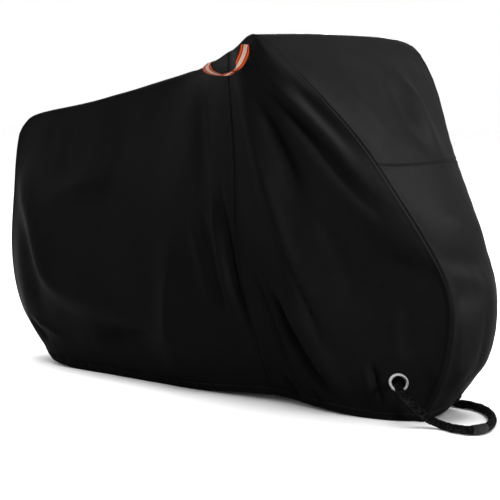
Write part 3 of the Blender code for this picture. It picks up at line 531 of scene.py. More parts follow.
# ---------------------------------------------------------------- the fine skin
class Drape:
    """The whole cover as one fine open sheet, kept as grids of point numbers."""

    def __init__(self, pucker):
        seam = GIRTH[SEAM_STATION]
        offsets = np.array(SEAM_OFFSETS)
        extra = np.concatenate((seam - offsets, seam + offsets, GIRTH[0] + offsets, GIRTH[-1] - offsets))
        self.girths = fine_places(GIRTH, COLUMNS_PER_SPAN, extra)
        cross = DEPTH[CROSS_LEVEL]
        extra = np.concatenate((offsets / SIDE_LENGTH, cross - offsets, cross + offsets,
                                1.0 - np.array(HEM_OFFSETS) / SIDE_LENGTH))
        self.depths = fine_places(DEPTH, ROWS_PER_SPAN, extra)
        self.seam = int(np.argmin(np.abs(self.girths - seam)))
        self.cross = int(np.argmin(np.abs(self.depths - cross)))
        self.build()
        self.fold()
        self.flatten_eyelets(EYELET_FLAT, EYELET_BLEND)
        self.smooth_places = self.places.copy()
        self.crease()
        self.round_corners()
        self.finish_edges(pucker)

    # ------------------------------------------------------------ grids
    def build(self):
        table = np.array([[(*row[3 + level], row[2] + (row[1] - row[2]) * LEVELS[level])
                           for level in range(len(LEVELS))] for row in SECTIONS])
        levels = curve_through(GIRTH, table, self.girths).transpose(1, 0, 2)
        side = curve_through(DEPTH, levels, self.depths).transpose(1, 0, 2)
        self.points = []
        self.count = 0
        self.near = self.add(settle(side * np.array((1.0, -1.0, 1.0))))
        self.far = self.add(settle(side))
        self.spine = self.spine_grid()
        self.front = self.front_grid()
        self.places = np.concatenate(self.points)
        cut, cross = self.seam, self.cross
        self.panels = {
            "side_rear_near": (self.near[:cut + 1], True),
            "side_front_near": (self.near[cut:], True),
            "side_rear_far": (self.far[:cut + 1], False),
            "side_front_far": (self.far[cut:], False),
            "top_strip": (self.spine, False),
            "front_upper": (self.front[:cross + 1], False),
            "front_lower": (self.front[cross:], False),
        }
        self.quads = np.concatenate([grid_quads(grid, flip) for grid, flip in self.panels.values()])
        self.update_normals()

    def add(self, places):
        """Take in new points and give back their numbers."""
        flat = places.reshape(-1, 3)
        numbers = self.count + np.arange(len(flat))
        self.points.append(flat)
        self.count += len(flat)
        return numbers.reshape(places.shape[:-1])

    def spine_grid(self):
        """Centre strip: up the tail, over the ridge and out to the handlebar ends."""
        left, right = (np.concatenate((side[0, :0:-1], side[:, 0])) for side in (self.near, self.far))
        tail = len(self.depths) - 1
        girths = np.concatenate((np.full(tail, self.girths[0]), self.girths))
        crest = curve_through(GIRTH, [row[1:] for row in CREST], girths)
        rise = np.where(np.arange(len(girths)) < tail, 0.0, crest[:, 0])
        share, places = self.between(left, right)
        arch = 1.0 - np.abs(share)[None, :] ** crest[:, 2][:, None]
        places[..., 0] += crest[:, 1][:, None] * arch
        places[..., 2] += rise[:, None] * arch
        inner = self.add(places[:, 1:-1])
        return np.concatenate((left[:, None], inner, right[:, None]), axis=1)

    def front_grid(self):
        """Front panel between the two front seams, from the handlebar down."""
        left, right = self.near[-1, 1:], self.far[-1, 1:]
        bulge = curve_through(DEPTH, FRONT_BULGE, self.depths[1:])
        share, places = self.between(left, right)
        places[..., 0] += bulge[:, None] * (1.0 - share[None, :] ** 2)
        inner = self.add(places[:, 1:-1])
        rows = np.concatenate((left[:, None], inner, right[:, None]), axis=1)
        return np.concatenate((self.spine[-1][None], rows))

    def between(self, left, right):
        """Shares across a strip from -1 to 1, closer together near its seams, and its straight places."""
        even = np.linspace(-1.0, 1.0, SPINE_ACROSS + 1)
        share = np.sign(even) * (1.0 - (1.0 - np.abs(even)) ** 1.35)
        part = ((share + 1.0) / 2.0)[None, :, None]
        points = np.concatenate(self.points)
        return share, points[left][:, None] * (1.0 - part) + points[right][:, None] * part

    def update_normals(self):
        corners = self.places[self.quads]
        face = np.cross(corners[:, 2] - corners[:, 0], corners[:, 3] - corners[:, 1])
        total = np.zeros_like(self.places)
        for corner in range(4):
            for axis in range(3):
                total[:, axis] += np.bincount(self.quads[:, corner], face[:, axis], len(total))
        self.normals = unit(total)

    def move(self, heights):
        self.places += self.normals * heights[:, None]
        self.places[:, 2] = np.maximum(self.places[:, 2], CLOTH_FLOOR)
        self.update_normals()

    # ------------------------------------------------------------ folds
    def tabled(self, tables, height):
        """Heights of the rows of four tables, on the near side, far side, front and centre strip."""
        heights = np.zeros(len(self.places))
        areas = ((self.near, 0, 2), (self.far, 0, 2), (self.front[1:, 1:-1], 1, 2),
                 (self.spine[len(self.depths) - 1:, 1:-1], 0, 1))
        for table, (grid, first, second) in zip(tables, areas):
            spots = self.places[grid]
            for row in table:
                heights[grid] += height(row, spots[..., first], spots[..., second])
        return heights

    def fold(self):
        self.move(self.tabled((NEAR_FOLDS, FAR_FOLDS, FRONT_FOLDS, ()), fold_height))

    def flatten_eyelets(self, flat, blend):
        """Make the cloth flat round each eyelet."""
        for centre, outward in EYELETS.values():
            gap = self.places - np.array(centre)
            aside = np.linalg.norm(gap, axis=1)
            hold = 1.0 - smoothstep(aside, flat, blend)
            self.places -= np.array(outward) * ((gap @ np.array(outward)) * hold)[:, None]
        self.update_normals()

    def crease(self):
        heights = self.tabled((NEAR_CREASES, FAR_CREASES, FRONT_CREASES, TOP_CREASES), crease_height)
        self.measure()
        calm = 0.25 + 0.75 * smoothstep(self.from_seam["ridge"], 0.0, 0.09)
        heights += self.unevenness() * calm
        self.move(heights * self.off_eyelets())

    def unevenness(self):
        """Shallow wandering waves, longer up and down than across, as hanging cloth has."""
        heights = np.zeros(len(self.places))
        for number, (x, y, z) in enumerate(self.places):
            for _, across, up, start, height in WAVES:
                spot = Vector((x * across + start[0], y * across + start[1], z * up + start[2]))
                heights[number] += noise.noise(spot) * height
        return heights

    def off_eyelets(self):
        """1 over the cloth, and 0 round the eyelets."""
        hold = np.ones(len(self.places))
        for centre, _ in EYELETS.values():
            aside = np.linalg.norm(self.places - np.array(centre), axis=1)
            hold *= smoothstep(aside, EYELET_CALM, EYELET_CALM_BLEND)
        return hold

    def round_corners(self):
        """Ease the cloth round the handlebar, the front seams and the tail's top corner by averaging
        neighbours there."""
        self.measure()
        away = self.from_seam
        high = smoothstep(self.places[:, 2], 0.30, 0.75)
        ease = np.exp(-(away["corner"] / (0.014 + 0.026 * high)) ** 2) * (0.3 + 0.7 * high)
        ease = np.maximum(ease, np.exp(-(away["bar"] / 0.030) ** 2))
        _, top, _, (back, _) = SECTIONS[0][:4]
        tail = np.hypot(self.places[:, 0] - back, self.places[:, 2] - top)
        ease = np.maximum(ease, 0.8 * np.exp(-(tail / TAIL_EASE) ** 2))
        ease *= smoothstep(away["hem"], 0.01, 0.06)
        moving = ease > 0.02
        edges = np.concatenate([self.quads[:, [a, (a + 1) % 4]] for a in range(4)])
        edges = np.unique(np.sort(edges, axis=1), axis=0)
        edges = edges[moving[edges].any(axis=1)]
        first, second = edges.T
        size = len(self.places)
        count = np.bincount(first, minlength=size) + np.bincount(second, minlength=size)
        hold = ease * self.off_eyelets()
        for _ in range(ROUNDING_STEPS):
            for axis in range(3):
                line = self.places[:, axis]
                total = np.bincount(first, line[second], size) + np.bincount(second, line[first], size)
                mean = np.where(count > 0, total / np.maximum(count, 1), line)
                self.places[:, axis] = np.where(moving, line + (mean - line) * hold * 0.9, line)
        self.update_normals()

    # ------------------------------------------------------------ seams and hem
    def measure(self):
        """How far each point lies along the cloth from each seam and from the hem."""
        self.from_seam = {}
        size = len(self.places)
        for name in ("side", "ridge", "corner", "cross", "bar", "hem"):
            self.from_seam[name] = np.full(size, 1.0)
        for grid in (self.near, self.far):
            girth = lengths_along(self.places[grid])
            down = lengths_across(self.places[grid])
            self.nearest("side", grid, np.abs(girth - girth[self.seam]))
            self.nearest("ridge", grid, np.minimum(down, girth))
            self.nearest("corner", grid, girth[-1] - girth)
            self.nearest("hem", grid, down[:, -1:] - down)
        strip = self.spine
        across = lengths_across(self.places[strip])
        along = lengths_along(self.places[strip])
        self.nearest("ridge", strip, np.minimum(across, across[:, -1:] - across))
        self.nearest("hem", strip, along)
        across = lengths_across(self.places[self.front])
        down = lengths_along(self.places[self.front])
        self.nearest("corner", self.front, np.minimum(across, across[:, -1:] - across))
        self.nearest("cross", self.front, np.abs(down - down[self.cross]))
        self.nearest("hem", self.front, down[-1] - down)
        self.nearest("bar", self.front, down)
        self.nearest("bar", strip, along[-1] - along)

    def nearest(self, name, grid, lengths):
        self.from_seam[name][grid] = np.minimum(self.from_seam[name][grid], lengths)

    def finish_edges(self, pucker):
        """Sunk seams with a slight roll beside them, and the turned hem with its puckers."""
        self.measure()
        away = self.from_seam
        heights = np.zeros(len(self.places))
        low = 1.0 - smoothstep(self.places[:, 2], 0.34, 0.46)
        for name, depth, roll in SEAM_LINES:
            heights -= depth * np.exp(-(away[name] / SEAM_WIDTH) ** 2) * (1.0 - low * (name == "corner"))
            heights += roll * np.exp(-((away[name] - ROLL_PLACE) / ROLL_WIDTH) ** 2)
        spread = np.full(len(self.places), RIB_SPREAD)
        spread[self.front] = RIB_SPREAD_FRONT
        heights += RIB_HEIGHT * low * np.exp(-(away["corner"] / spread) ** 2)
        band = 1.0 - smoothstep(away["hem"], HEM_HEIGHT - 0.0015, HEM_HEIGHT + 0.001)
        groove = np.exp(-((away["hem"] - HEM_HEIGHT) / 0.0018) ** 2)
        heights += HEM_BAND * band - HEM_GROOVE * groove
        heights += self.hem_gathers(pucker)
        for name, amount in SEAM_PUCKERS:
            heights += self.seam_puckers(name, pucker * amount)
        self.move(heights * self.off_eyelets())

    def hem_gathers(self, pucker):
        """Small gathers near the hem's row of stitches, stronger in some stretches than in others."""
        x, y, _ = self.places.T
        run = x * 0.8 + y * 0.6 * np.sign(y + 1e-6)
        wave = np.sin(run * 2 * math.pi / GATHER_PITCH + 2.2 * np.sin(run * 23.0))
        wave += 0.6 * np.sin(run * 2 * math.pi / FINE_GATHER_PITCH + 1.7 * np.sin(run * 31.0) + 1.0)
        patch = 0.45 + 0.55 * np.sin(run * 9.0 + 2.0 * np.sin(run * 4.0 + 0.7))
        near_stitch = np.exp(-((self.from_seam["hem"] - HEM_HEIGHT * 0.75) / 0.016) ** 2)
        return pucker * wave * np.clip(patch, 0.1, 1.0) * near_stitch

    def seam_puckers(self, name, height):
        """Light puckers beside one seam. Those of the side seam fade towards the ridge."""
        x, y, z = self.places.T
        up = z + 0.7 * y * (name != "corner") + 0.8 * x * (name == "ridge")
        pull = np.sin(up * 2 * math.pi / PUCKER_PITCH + 2.0 * np.sin(up * 19.0))
        near = np.exp(-((self.from_seam[name] - 0.010) / 0.009) ** 2) * 0.5
        if name == "side":
            near *= smoothstep(self.from_seam["ridge"], 0.02, 0.09)
        return height * pull * near


# ---------------------------------------------------------------- making meshes
def deselect():
    bpy.ops.object.select_all(action="DESELECT")


def pick(piece):
    """Make a piece the only one selected, and the active one."""
    deselect()
    piece.select_set(True)
    bpy.context.view_layer.objects.active = piece


def grid_piece(name, places, uvs, closed=False):
    """A grid primitive set to a table of places. A closed one is joined where its edges meet."""
    deselect()
    rows, columns = places.shape[:2]
    bpy.ops.mesh.primitive_grid_add(x_subdivisions=rows - 1, y_subdivisions=columns - 1, size=2.0)
    piece = bpy.context.object
    piece.name = piece.data.name = name
    mesh = piece.data
    flat = np.empty(len(mesh.vertices) * 3)
    mesh.vertices.foreach_get("co", flat)
    flat = flat.reshape(-1, 3)
    row = np.rint((flat[:, 0] + 1.0) / 2.0 * (rows - 1)).astype(int)
    column = np.rint((flat[:, 1] + 1.0) / 2.0 * (columns - 1)).astype(int)
    mesh.vertices.foreach_set("co", places[row, column].ravel())
    corner = np.empty(len(mesh.loops), dtype=np.int32)
    mesh.loops.foreach_get("vertex_index", corner)
    mesh.uv_layers[0].data.foreach_set("uv", uvs[row, column][corner].ravel())
    mesh.update()
    bpy.ops.object.transform_apply(location=True, rotation=True, scale=True)
    if closed:
        bpy.ops.object.mode_set(mode="EDIT")
        bpy.ops.mesh.select_all(action="SELECT")
        bpy.ops.mesh.remove_doubles(threshold=0.00001)
        bpy.ops.mesh.fill_holes(sides=0)
        bpy.ops.mesh.select_all(action="SELECT")
        bpy.ops.mesh.normals_make_consistent(inside=False)
        bpy.ops.object.mode_set(mode="OBJECT")
    bpy.ops.object.shade_smooth()
    return piece


def finish_piece(piece, node_names, material):
    piece.data.materials.clear()
    piece.data.materials.append(material)
    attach(piece, "root")
    if node_names:
        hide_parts(*node_names)


def apply_modifier(piece, name):
    pick(piece)
    bpy.ops.object.modifier_apply(modifier=name)


def cut_eyelet_hole(piece, centre):
    """Take out the faces inside an eyelet and bring the hole's edge onto a circle."""
    pick(piece)
    mesh = piece.data
    middle = np.array(centre) + SHIFT
    bpy.ops.object.mode_set(mode="EDIT")
    bpy.ops.mesh.select_mode(type="FACE")
    bpy.ops.mesh.select_all(action="DESELECT")
    bpy.ops.object.mode_set(mode="OBJECT")
    for polygon in mesh.polygons:
        polygon.select = float(np.linalg.norm(np.array(polygon.center) - middle)) < EYELET_BARREL
    bpy.ops.object.mode_set(mode="EDIT")
    bpy.ops.mesh.delete(type="FACE")
    bpy.ops.mesh.select_mode(type="VERT")
    bpy.ops.object.mode_set(mode="OBJECT")
    spot, radius = Vector(middle), EYELET_BARREL + 0.0005
    for vertex in mesh.vertices:
        gap = vertex.co - spot
        if gap.length < radius:
            vertex.co = spot + gap.normalized() * radius


def sew_panel(drape, name, cloth, material):
    """One panel as a thin solid, thicker at its turned hem."""
    grid, flip = drape.panels[name]
    places = drape.places[grid] + SHIFT
    along = lengths_along(places)
    down = lengths_across(places)
    uvs = np.stack((along, down), axis=-1)
    hem = drape.from_seam["hem"][grid]
    if flip:
        places, uvs, hem = places[::-1], uvs[::-1], hem[::-1]
    piece = grid_piece(name + "_cloth", places, uvs)
    turned = 1.0 - smoothstep(hem, HEM_HEIGHT - 0.001, HEM_HEIGHT + 0.002)
    share = cloth.thickness / cloth.hem_thickness
    weights = share + (1.0 - share) * turned
    group = piece.vertex_groups.new(name="thickness")
    flat = np.empty(len(piece.data.vertices) * 3)
    piece.data.vertices.foreach_get("co", flat)
    flat = flat.reshape(-1, 3)
    low = np.where(flat[:, 2] < HEM_HEIGHT * 3 + 0.06)[0]
    group.add(list(range(len(flat))), share, "REPLACE")
    order = {tuple(np.round(place, 6)): weight
             for place, weight in zip(places.reshape(-1, 3), weights.ravel()) if weight > share + 1e-4}
    for number in low:
        weight = order.get(tuple(np.round(flat[number], 6)))
        if weight is not None:
            group.add([int(number)], float(weight), "REPLACE")
    for side, (centre, _) in EYELETS.items():
        if name == "side_front_" + side:
            cut_eyelet_hole(piece, centre)
    wall = piece.modifiers.new("wall", "SOLIDIFY")
    wall.thickness = cloth.hem_thickness
    wall.offset = -1.0
    wall.vertex_group = group.name
    apply_modifier(piece, wall.name)
    bpy.ops.object.shade_smooth_by_angle(angle=math.radians(50))
    finish_piece(piece, [name], material)
    step = np.linalg.norm(np.cross(places[1:, :-1] - places[:-1, :-1], places[:-1, 1:] - places[:-1, :-1]),
                          axis=-1)
    width, length, area = float(along[-1].max()), float(down[:, -1].max()), float(step.sum())
    if name == "top_strip":
        length = area / (STRIP_FILL * width)


# ---------------------------------------------------------------- finishes
class Socket:
    """A node's output that can be used in sums and products."""

    def __init__(self, tree, output):
        self.tree = tree
        self.output = output

    def node(self, kind, settings=None, **values):
        node = self.tree.nodes.new(kind)
        for key, value in (settings or {}).items():
            setattr(node, key, value)
        for key, value in values.items():
            number = int(key[2:]) if key.startswith("in") and key[2:].isdigit() else key.replace("_", " ")
            socket = node.inputs[number]
            if isinstance(value, Socket):
                self.tree.links.new(value.output, socket)
            else:
                socket.default_value = value
        return node

    def math(self, operation, first, second=None):
        values = {"in0": first}
        if second is not None:
            values["in1"] = second
        return Socket(self.tree, self.node("ShaderNodeMath", {"operation": operation}, **values).outputs[0])

    def __add__(self, other):
        return self.math("ADD", self, other)

    def __radd__(self, other):
        return self.math("ADD", other, self)

    def __sub__(self, other):
        return self.math("SUBTRACT", self, other)

    def __rsub__(self, other):
        return self.math("SUBTRACT", other, self)

    def __mul__(self, other):
        return self.math("MULTIPLY", self, other)

    def sin(self):
        return self.math("SINE", self)

    def abs(self):
        return self.math("ABSOLUTE", self)

    def smooth(self, low, high):
        node = self.node("ShaderNodeMapRange", {"interpolation_type": "SMOOTHSTEP"}, in0=self, in1=low,
                         in2=high, in3=0.0, in4=1.0)
        return Socket(self.tree, node.outputs[0])


class Finish:
    """A material being put together."""

    def __init__(self, name, **constants):
        self.material = bpy.data.materials.new(name)
        self.material.use_nodes = True
        self.tree = self.material.node_tree
        self.shader = self.tree.nodes["Principled BSDF"]
        self.root = Socket(self.tree, None)
        for key, value in constants.items():
            self.shader.inputs[key.replace("_", " ")].default_value = value

    def out(self, kind, output, settings=None, **values):
        return Socket(self.tree, self.root.node(kind, settings, **values).outputs[output])

    def places(self):
        return self.out("ShaderNodeTexCoord", "Object")

    def uv(self):
        return self.out("ShaderNodeUVMap", "UV", {"uv_map": "UVMap"})

    def parts(self, vector):
        node = self.root.node("ShaderNodeSeparateXYZ", None, in0=vector)
        return [Socket(self.tree, node.outputs[i]) for i in range(3)]

    def stretched(self, vector, scale):
        return self.out("ShaderNodeMapping", "Vector", None, Vector=vector, Scale=scale)

    def noise(self, vector, scale, detail=3.0, rough=0.5, warp=0.0):
        return self.out("ShaderNodeTexNoise", "Fac", None, Vector=vector, Scale=scale, Detail=detail,
                        Roughness=rough, Distortion=warp)

    def mix(self, share, first, second):
        node = self.root.node("ShaderNodeMix", {"data_type": "RGBA"}, in0=share, in6=first, in7=second)
        return Socket(self.tree, node.outputs[2])

    def link(self, name, value):
        self.tree.links.new(value.output, self.shader.inputs[name])

    def bump(self, height, strength, distance, onto=None):
        values = {"Strength": strength, "Distance": distance, "Height": height}
        if onto:
            values["Normal"] = onto
        return self.out("ShaderNodeBump", "Normal", None, **values)


def colour(values):
    return (*values, 1.0)


def cloth_finish(cloth):
    """Black coated polyester: a tight plain weave, small crumples and a soft sheen."""
    look = Finish("coated polyester", Specular_IOR_Level=0.008)
    where, flat = look.places(), look.uv()
    u, v, _ = look.parts(flat)
    weave = (u * (2 * math.pi / 0.0011)).sin() * (v * (2 * math.pi / 0.0011)).sin()
    crumple = look.noise(look.stretched(where, (1.0, 1.0, 0.45)), 26.0, 4.0, 0.55, 0.6)
    ridge = (crumple - 0.5).abs() * 2.0
    cloud = look.noise(where, 3.1, 2.0)
    dust = look.noise(where, 38.0, 5.0, 0.7)
    pale = tuple(value * 1.5 + 0.0002 for value in cloth.colour)
    tone = cloud.smooth(0.35, 0.75) * 0.55 + dust.smooth(0.45, 0.8) * 0.35
    look.link("Base Color", look.mix(tone, colour(cloth.colour), colour(pale)))
    look.link("Roughness", 0.46 + cloud * 0.12 + weave * 0.03)
    first = look.bump(ridge, 0.15, 0.0020)
    look.link("Normal", look.bump(weave, 0.20, 0.00025, first))
    return look.material


def thread_finish():
    look = Finish("black thread", Specular_IOR_Level=0.02)
    where = look.places()
    fleck = look.noise(where, 700.0, 2.0)
    look.link("Base Color", look.mix(fleck, (0.0008, 0.0008, 0.0008, 1.0), (0.0022, 0.0022, 0.0023, 1.0)))
    look.link("Roughness", 0.55 + fleck * 0.2)
    return look.material


def webbing_finish(trim):
    """Woven webbing with two orange edges, dark lines and a pale middle."""
    look = Finish("striped webbing", Specular_IOR_Level=0.12)
    across, along, _ = look.parts(look.uv())
    middle = (across - 0.5).abs()
    line = middle.smooth(0.195, 0.205) * (1.0 - middle.smooth(0.265, 0.275))
    centre = 1.0 - middle.smooth(0.012, 0.024)
    rib = ((along + middle * 0.004) * (2 * math.pi / 0.0021)).sin()
    warp = (across * (2 * math.pi * 18.0)).sin()
    worn = look.noise(look.places(), 120.0, 3.0)
    shade = look.mix(middle.smooth(0.165, 0.180), colour(trim.silver), colour(trim.orange))
    shade = look.mix(line + centre * 0.45, shade, colour(trim.line_red_and_groove_shade))
    shade = look.mix(middle.smooth(0.420, 0.435) * 0.97, shade, colour(trim.line_red_and_groove_shade))
    # Painted shade: the troughs between the ribs are darkened towards the dark red, and random patches of
    # wear are darkened too
    shade = look.mix((1.0 - rib.smooth(-1.0, -0.2)) * 0.30 + worn * 0.14, shade, colour(trim.line_red_and_groove_shade))
    look.link("Base Color", shade)
    look.link("Roughness", 0.62 + worn * 0.2)
    look.link("Normal", look.bump(rib * 0.7 + warp * rib * 0.4, 0.7, 0.0005))
    return look.material


def metal_finish():
    look = Finish("nickel eyelet", Metallic=1.0)
    where = look.places()
    wear = look.noise(where, 90.0, 4.0, 0.6)
    scratch = look.noise(look.stretched(where, (1.0, 1.0, 9.0)), 420.0, 2.0)
    look.link("Base Color", look.mix(wear.smooth(0.45, 0.7), (0.34, 0.34, 0.345, 1.0),
                                     (0.22, 0.22, 0.225, 1.0)))
    look.link("Roughness", 0.20 + wear * 0.18 + scratch * 0.08)
    look.link("Normal", look.bump(scratch, 0.12, 0.0002))
    return look.material


def rope_finish():
    """Black woven sleeve over the rope, its weave following the rope."""
    look = Finish("woven sleeve", Specular_IOR_Level=0.03)
    around, along, _ = look.parts(look.uv())
    first = ((around * 0.066 + along) * (2 * math.pi / 0.0026)).sin()
    second = ((around * 0.066 - along) * (2 * math.pi / 0.0026)).sin()
    weave = first * second
    dust = look.noise(look.places(), 140.0, 4.0)
    look.link("Base Color", look.mix(dust.smooth(0.4, 0.8) * 0.6, (0.0012, 0.0012, 0.0012, 1.0),
                                     (0.0260, 0.0260, 0.0255, 1.0)))
    look.link("Roughness", 0.52 + weave * 0.05 + dust * 0.12)
    look.link("Normal", look.bump(weave, 0.4, 0.0004))
    return look.material


def band_finish():
    look = Finish("grey joint", Specular_IOR_Level=0.08)
    where = look.places()
    grain = look.noise(where, 260.0, 3.0)
    wear = look.noise(where, 60.0, 3.0)
    look.link("Base Color", look.mix(wear.smooth(0.35, 0.75), (0.014, 0.014, 0.014, 1.0),
                                     (0.034, 0.034, 0.034, 1.0)))
    look.link("Roughness", 0.48 + grain * 0.2)
    look.link("Normal", look.bump(grain, 0.3, 0.0003))
    return look.material


# ---------------------------------------------------------------- rope
def seat_of(centre, outward):
    """The rope lies on the lower edge of an eyelet's hole."""
    down = Vector((0.0, 0.0, -1.0))
    down -= outward * down.dot(outward)
    return centre + down.normalized() * (EYELET_HOLE - ROPE_RADIUS - ROPE_PLAY)


def rope_places():
    """The rope's whole way: out of the near eyelet, round the loop, in at the far one and back."""
    near, far = EYELETS["near"], EYELETS["far"]
    near_seat, far_seat = seat_of(*near), seat_of(*far)
    start = near_seat - near[1] * ROPE_INNER_END
    places = [start, near_seat + near[1] * ROPE_LEAD]
    places += [Vector(spot) for spot in ROPE_LOOP]
    places += [far_seat + far[1] * ROPE_LEAD, far_seat - far[1] * ROPE_LEAD]
    places += [Vector(spot) for spot in ROPE_INSIDE]
    places += [start - near[1] * ROPE_LEAD, start - near[1] * 0.0003]
    return np.array(places)


def rope_line(step):
    """Points along the smooth route, about a step apart."""
    places = rope_places()
    knots = lengths_along(places)
    at = [0.0]
    for low, high in zip(knots, knots[1:]):
        count = max(1, round((high - low) / step))
        at += [low + (high - low) * part / count for part in range(1, count + 1)]
    line = curve_through(knots, places, at)
    line[:, 2] = np.maximum(line[:, 2], ROPE_RADIUS)
    return line


def carried_frames(line):
    """Side and up directions carried along a line without twist."""
    runs = unit(np.gradient(line, axis=0))
    side = unit(np.cross(runs[0], (0.0, 0.0, 1.0)))
    sides = []
    for run in runs:
        side = unit(side - run * (side @ run))
        sides.append(side)
    sides = np.array(sides)
    return sides, np.cross(sides, runs)


def wheels(angle, sides, ups):
    """Outward directions of the rings round a line."""
    return np.cos(angle)[None, :, None] * sides[:, None] + np.sin(angle)[None, :, None] * ups[:, None]


def rope_tube(material, bunching):
    """The rope's gathered sleeve, with lower gathers where it passes the eyelets."""
    line = rope_line(SLEEVE_STEP)
    lengths = lengths_along(line)
    sides, ups = carried_frames(line)
    angle = np.linspace(0.0, 2 * math.pi, SLEEVE_AROUND + 1)
    eyelet_seats = [np.array(seat_of(*EYELETS[side])) for side in EYELETS]
    radius = np.empty((len(line), SLEEVE_AROUND + 1))
    for i, (spot, at) in enumerate(zip(line, lengths)):
        calm = min(1.0, min(float(np.linalg.norm(spot - seat)) for seat in eyelet_seats) / SLEEVE_CALM)
        for j in range(SLEEVE_AROUND):
            turn = Vector((math.cos(angle[j]), math.sin(angle[j]), 0.0))
            cross = noise.noise(Vector((turn.x * 1.3, turn.y * 1.3, at * 130.0 + turn.x * 1.5)))
            slant = noise.noise(Vector((turn.x * 0.9 + 7.0, turn.y * 0.9, at * 55.0)))
            lump = (1.0 - 3.2 * abs(cross)) * 0.8 + slant * 0.8
            radius[i, j] = SLEEVE_MEAN + bunching * (0.25 + 0.75 * calm) * (lump - 0.25)
        radius[i, SLEEVE_AROUND] = radius[i, 0]
    radius = np.clip(radius, SLEEVE_LEAST, SLEEVE_MOST)
    at_end = (lengths < SLEEVE_END) | (lengths > lengths[-1] - SLEEVE_END)
    radius = np.where(at_end[:, None], np.minimum(radius, SLEEVE_END_MOST), radius)
    places = line[:, None] + wheels(angle, sides, ups) * radius[..., None] + SHIFT
    places[..., 2] = np.maximum(places[..., 2], 0.0002)
    uvs = np.stack(np.broadcast_arrays((angle / (2 * math.pi))[None, :], lengths[:, None]), axis=-1)
    piece = grid_piece("rope_sleeve", places, uvs, closed=True)
    finish_piece(piece, ["rope"], material)
    return piece


def band_ring(material):
    """The short grey joint on the rope."""
    route = rope_line(ROPE_STEP)
    middle = round(BAND_PLACE * (len(route) - 1))
    fine = curve_through((0.0, 1.0, 2.0), route[middle - 1:middle + 2], np.linspace(0.0, 2.0, BAND_STEPS))
    sides, ups = carried_frames(fine)
    share = np.linspace(-1.0, 1.0, BAND_STEPS)
    outer = BAND_OUTER - 0.0009 * np.abs(share) ** 6 + 0.0002 * np.cos(share * 14.0)
    inner = np.full(BAND_STEPS, BAND_INNER)
    steps = np.arange(BAND_STEPS)
    order = np.concatenate((steps, steps[::-1], [0]))
    radius = np.concatenate((outer, inner, outer[:1]))
    angle = np.linspace(0.0, 2 * math.pi, BAND_AROUND + 1)
    places = fine[order][:, None] + wheels(angle, sides[order], ups[order]) * radius[:, None, None] + SHIFT
    places[..., 2] = np.maximum(places[..., 2], 0.0001)
    uvs = np.stack(np.broadcast_arrays(angle[None, :], np.arange(len(order))[:, None] * 0.01), axis=-1)
    piece = grid_piece("rope_joint", places, uvs, closed=True)
    finish_piece(piece, ["rope_band"], material)
    return piece


# ---------------------------------------------------------------- eyelets
def turned_ring(name, profile, centre, outward, node_names, material):
    """A closed profile of (radius, height) spun round an axis."""
    deselect()
    bpy.ops.mesh.primitive_circle_add(vertices=len(profile), fill_type="NOTHING")
    piece = bpy.context.object
    piece.name = piece.data.name = name
    turn = outward.to_track_quat("Z", "Y").to_matrix()
    middle = centre + Vector(SHIFT)
    for vertex, (radius, height) in zip(piece.data.vertices, profile):
        vertex.co = middle + turn @ Vector((radius, 0.0, height))
    bpy.ops.object.mode_set(mode="EDIT")
    bpy.ops.mesh.select_all(action="SELECT")
    bpy.ops.mesh.spin(steps=72, angle=2 * math.pi, center=middle, axis=outward)
    bpy.ops.mesh.select_all(action="SELECT")
    bpy.ops.mesh.remove_doubles(threshold=0.00002)
    bpy.ops.mesh.normals_make_consistent(inside=False)
    bpy.ops.object.mode_set(mode="OBJECT")
    bpy.ops.object.shade_smooth_by_angle(angle=math.radians(40))
    finish_piece(piece, node_names, material)


def eyelet_profile():
    """Front flange rolled over the barrel, and the flat washer behind the cloth."""
    face, back, thick = 0.0003, -0.0023, 0.0018
    rim = EYELET_FLANGE - 0.0015
    middle = (EYELET_HOLE + rim) / 2
    half = (rim - EYELET_HOLE) / 2
    front = []
    for step in range(17):
        angle = math.pi * (1.0 - step / 16)
        front.append((middle + half * math.cos(angle), face + thick * 1.25 * math.sin(angle) ** 0.8))
    washer = EYELET_FLANGE - 0.003
    rear = [(EYELET_BARREL, face), (EYELET_BARREL, back), (washer, back),
            (washer + 0.0003, back - thick * 0.3), (washer, back - thick * 0.6), (middle, back - thick),
            (EYELET_HOLE + 0.0008, back - thick * 0.75), (EYELET_HOLE, back - thick * 0.5)]
    return front + rear


# ---------------------------------------------------------------- handle
def near_skin(drape, places):
    """Search tree over the near side of the cloth and the centre strip."""
    quads = [grid_quads(*drape.panels[name]) for name in ("side_rear_near", "side_front_near", "top_strip")]
    return BVHTree.FromPolygons(places.tolist(), np.concatenate(quads).tolist())


def clear_of(cloth, spot, least):
    """Push a place out until it stands clear of the cloth."""
    place, normal, _, _ = cloth.find_nearest(spot)
    short = least - (spot - place).dot(normal)
    return spot + normal * short if short > 0.0 else spot


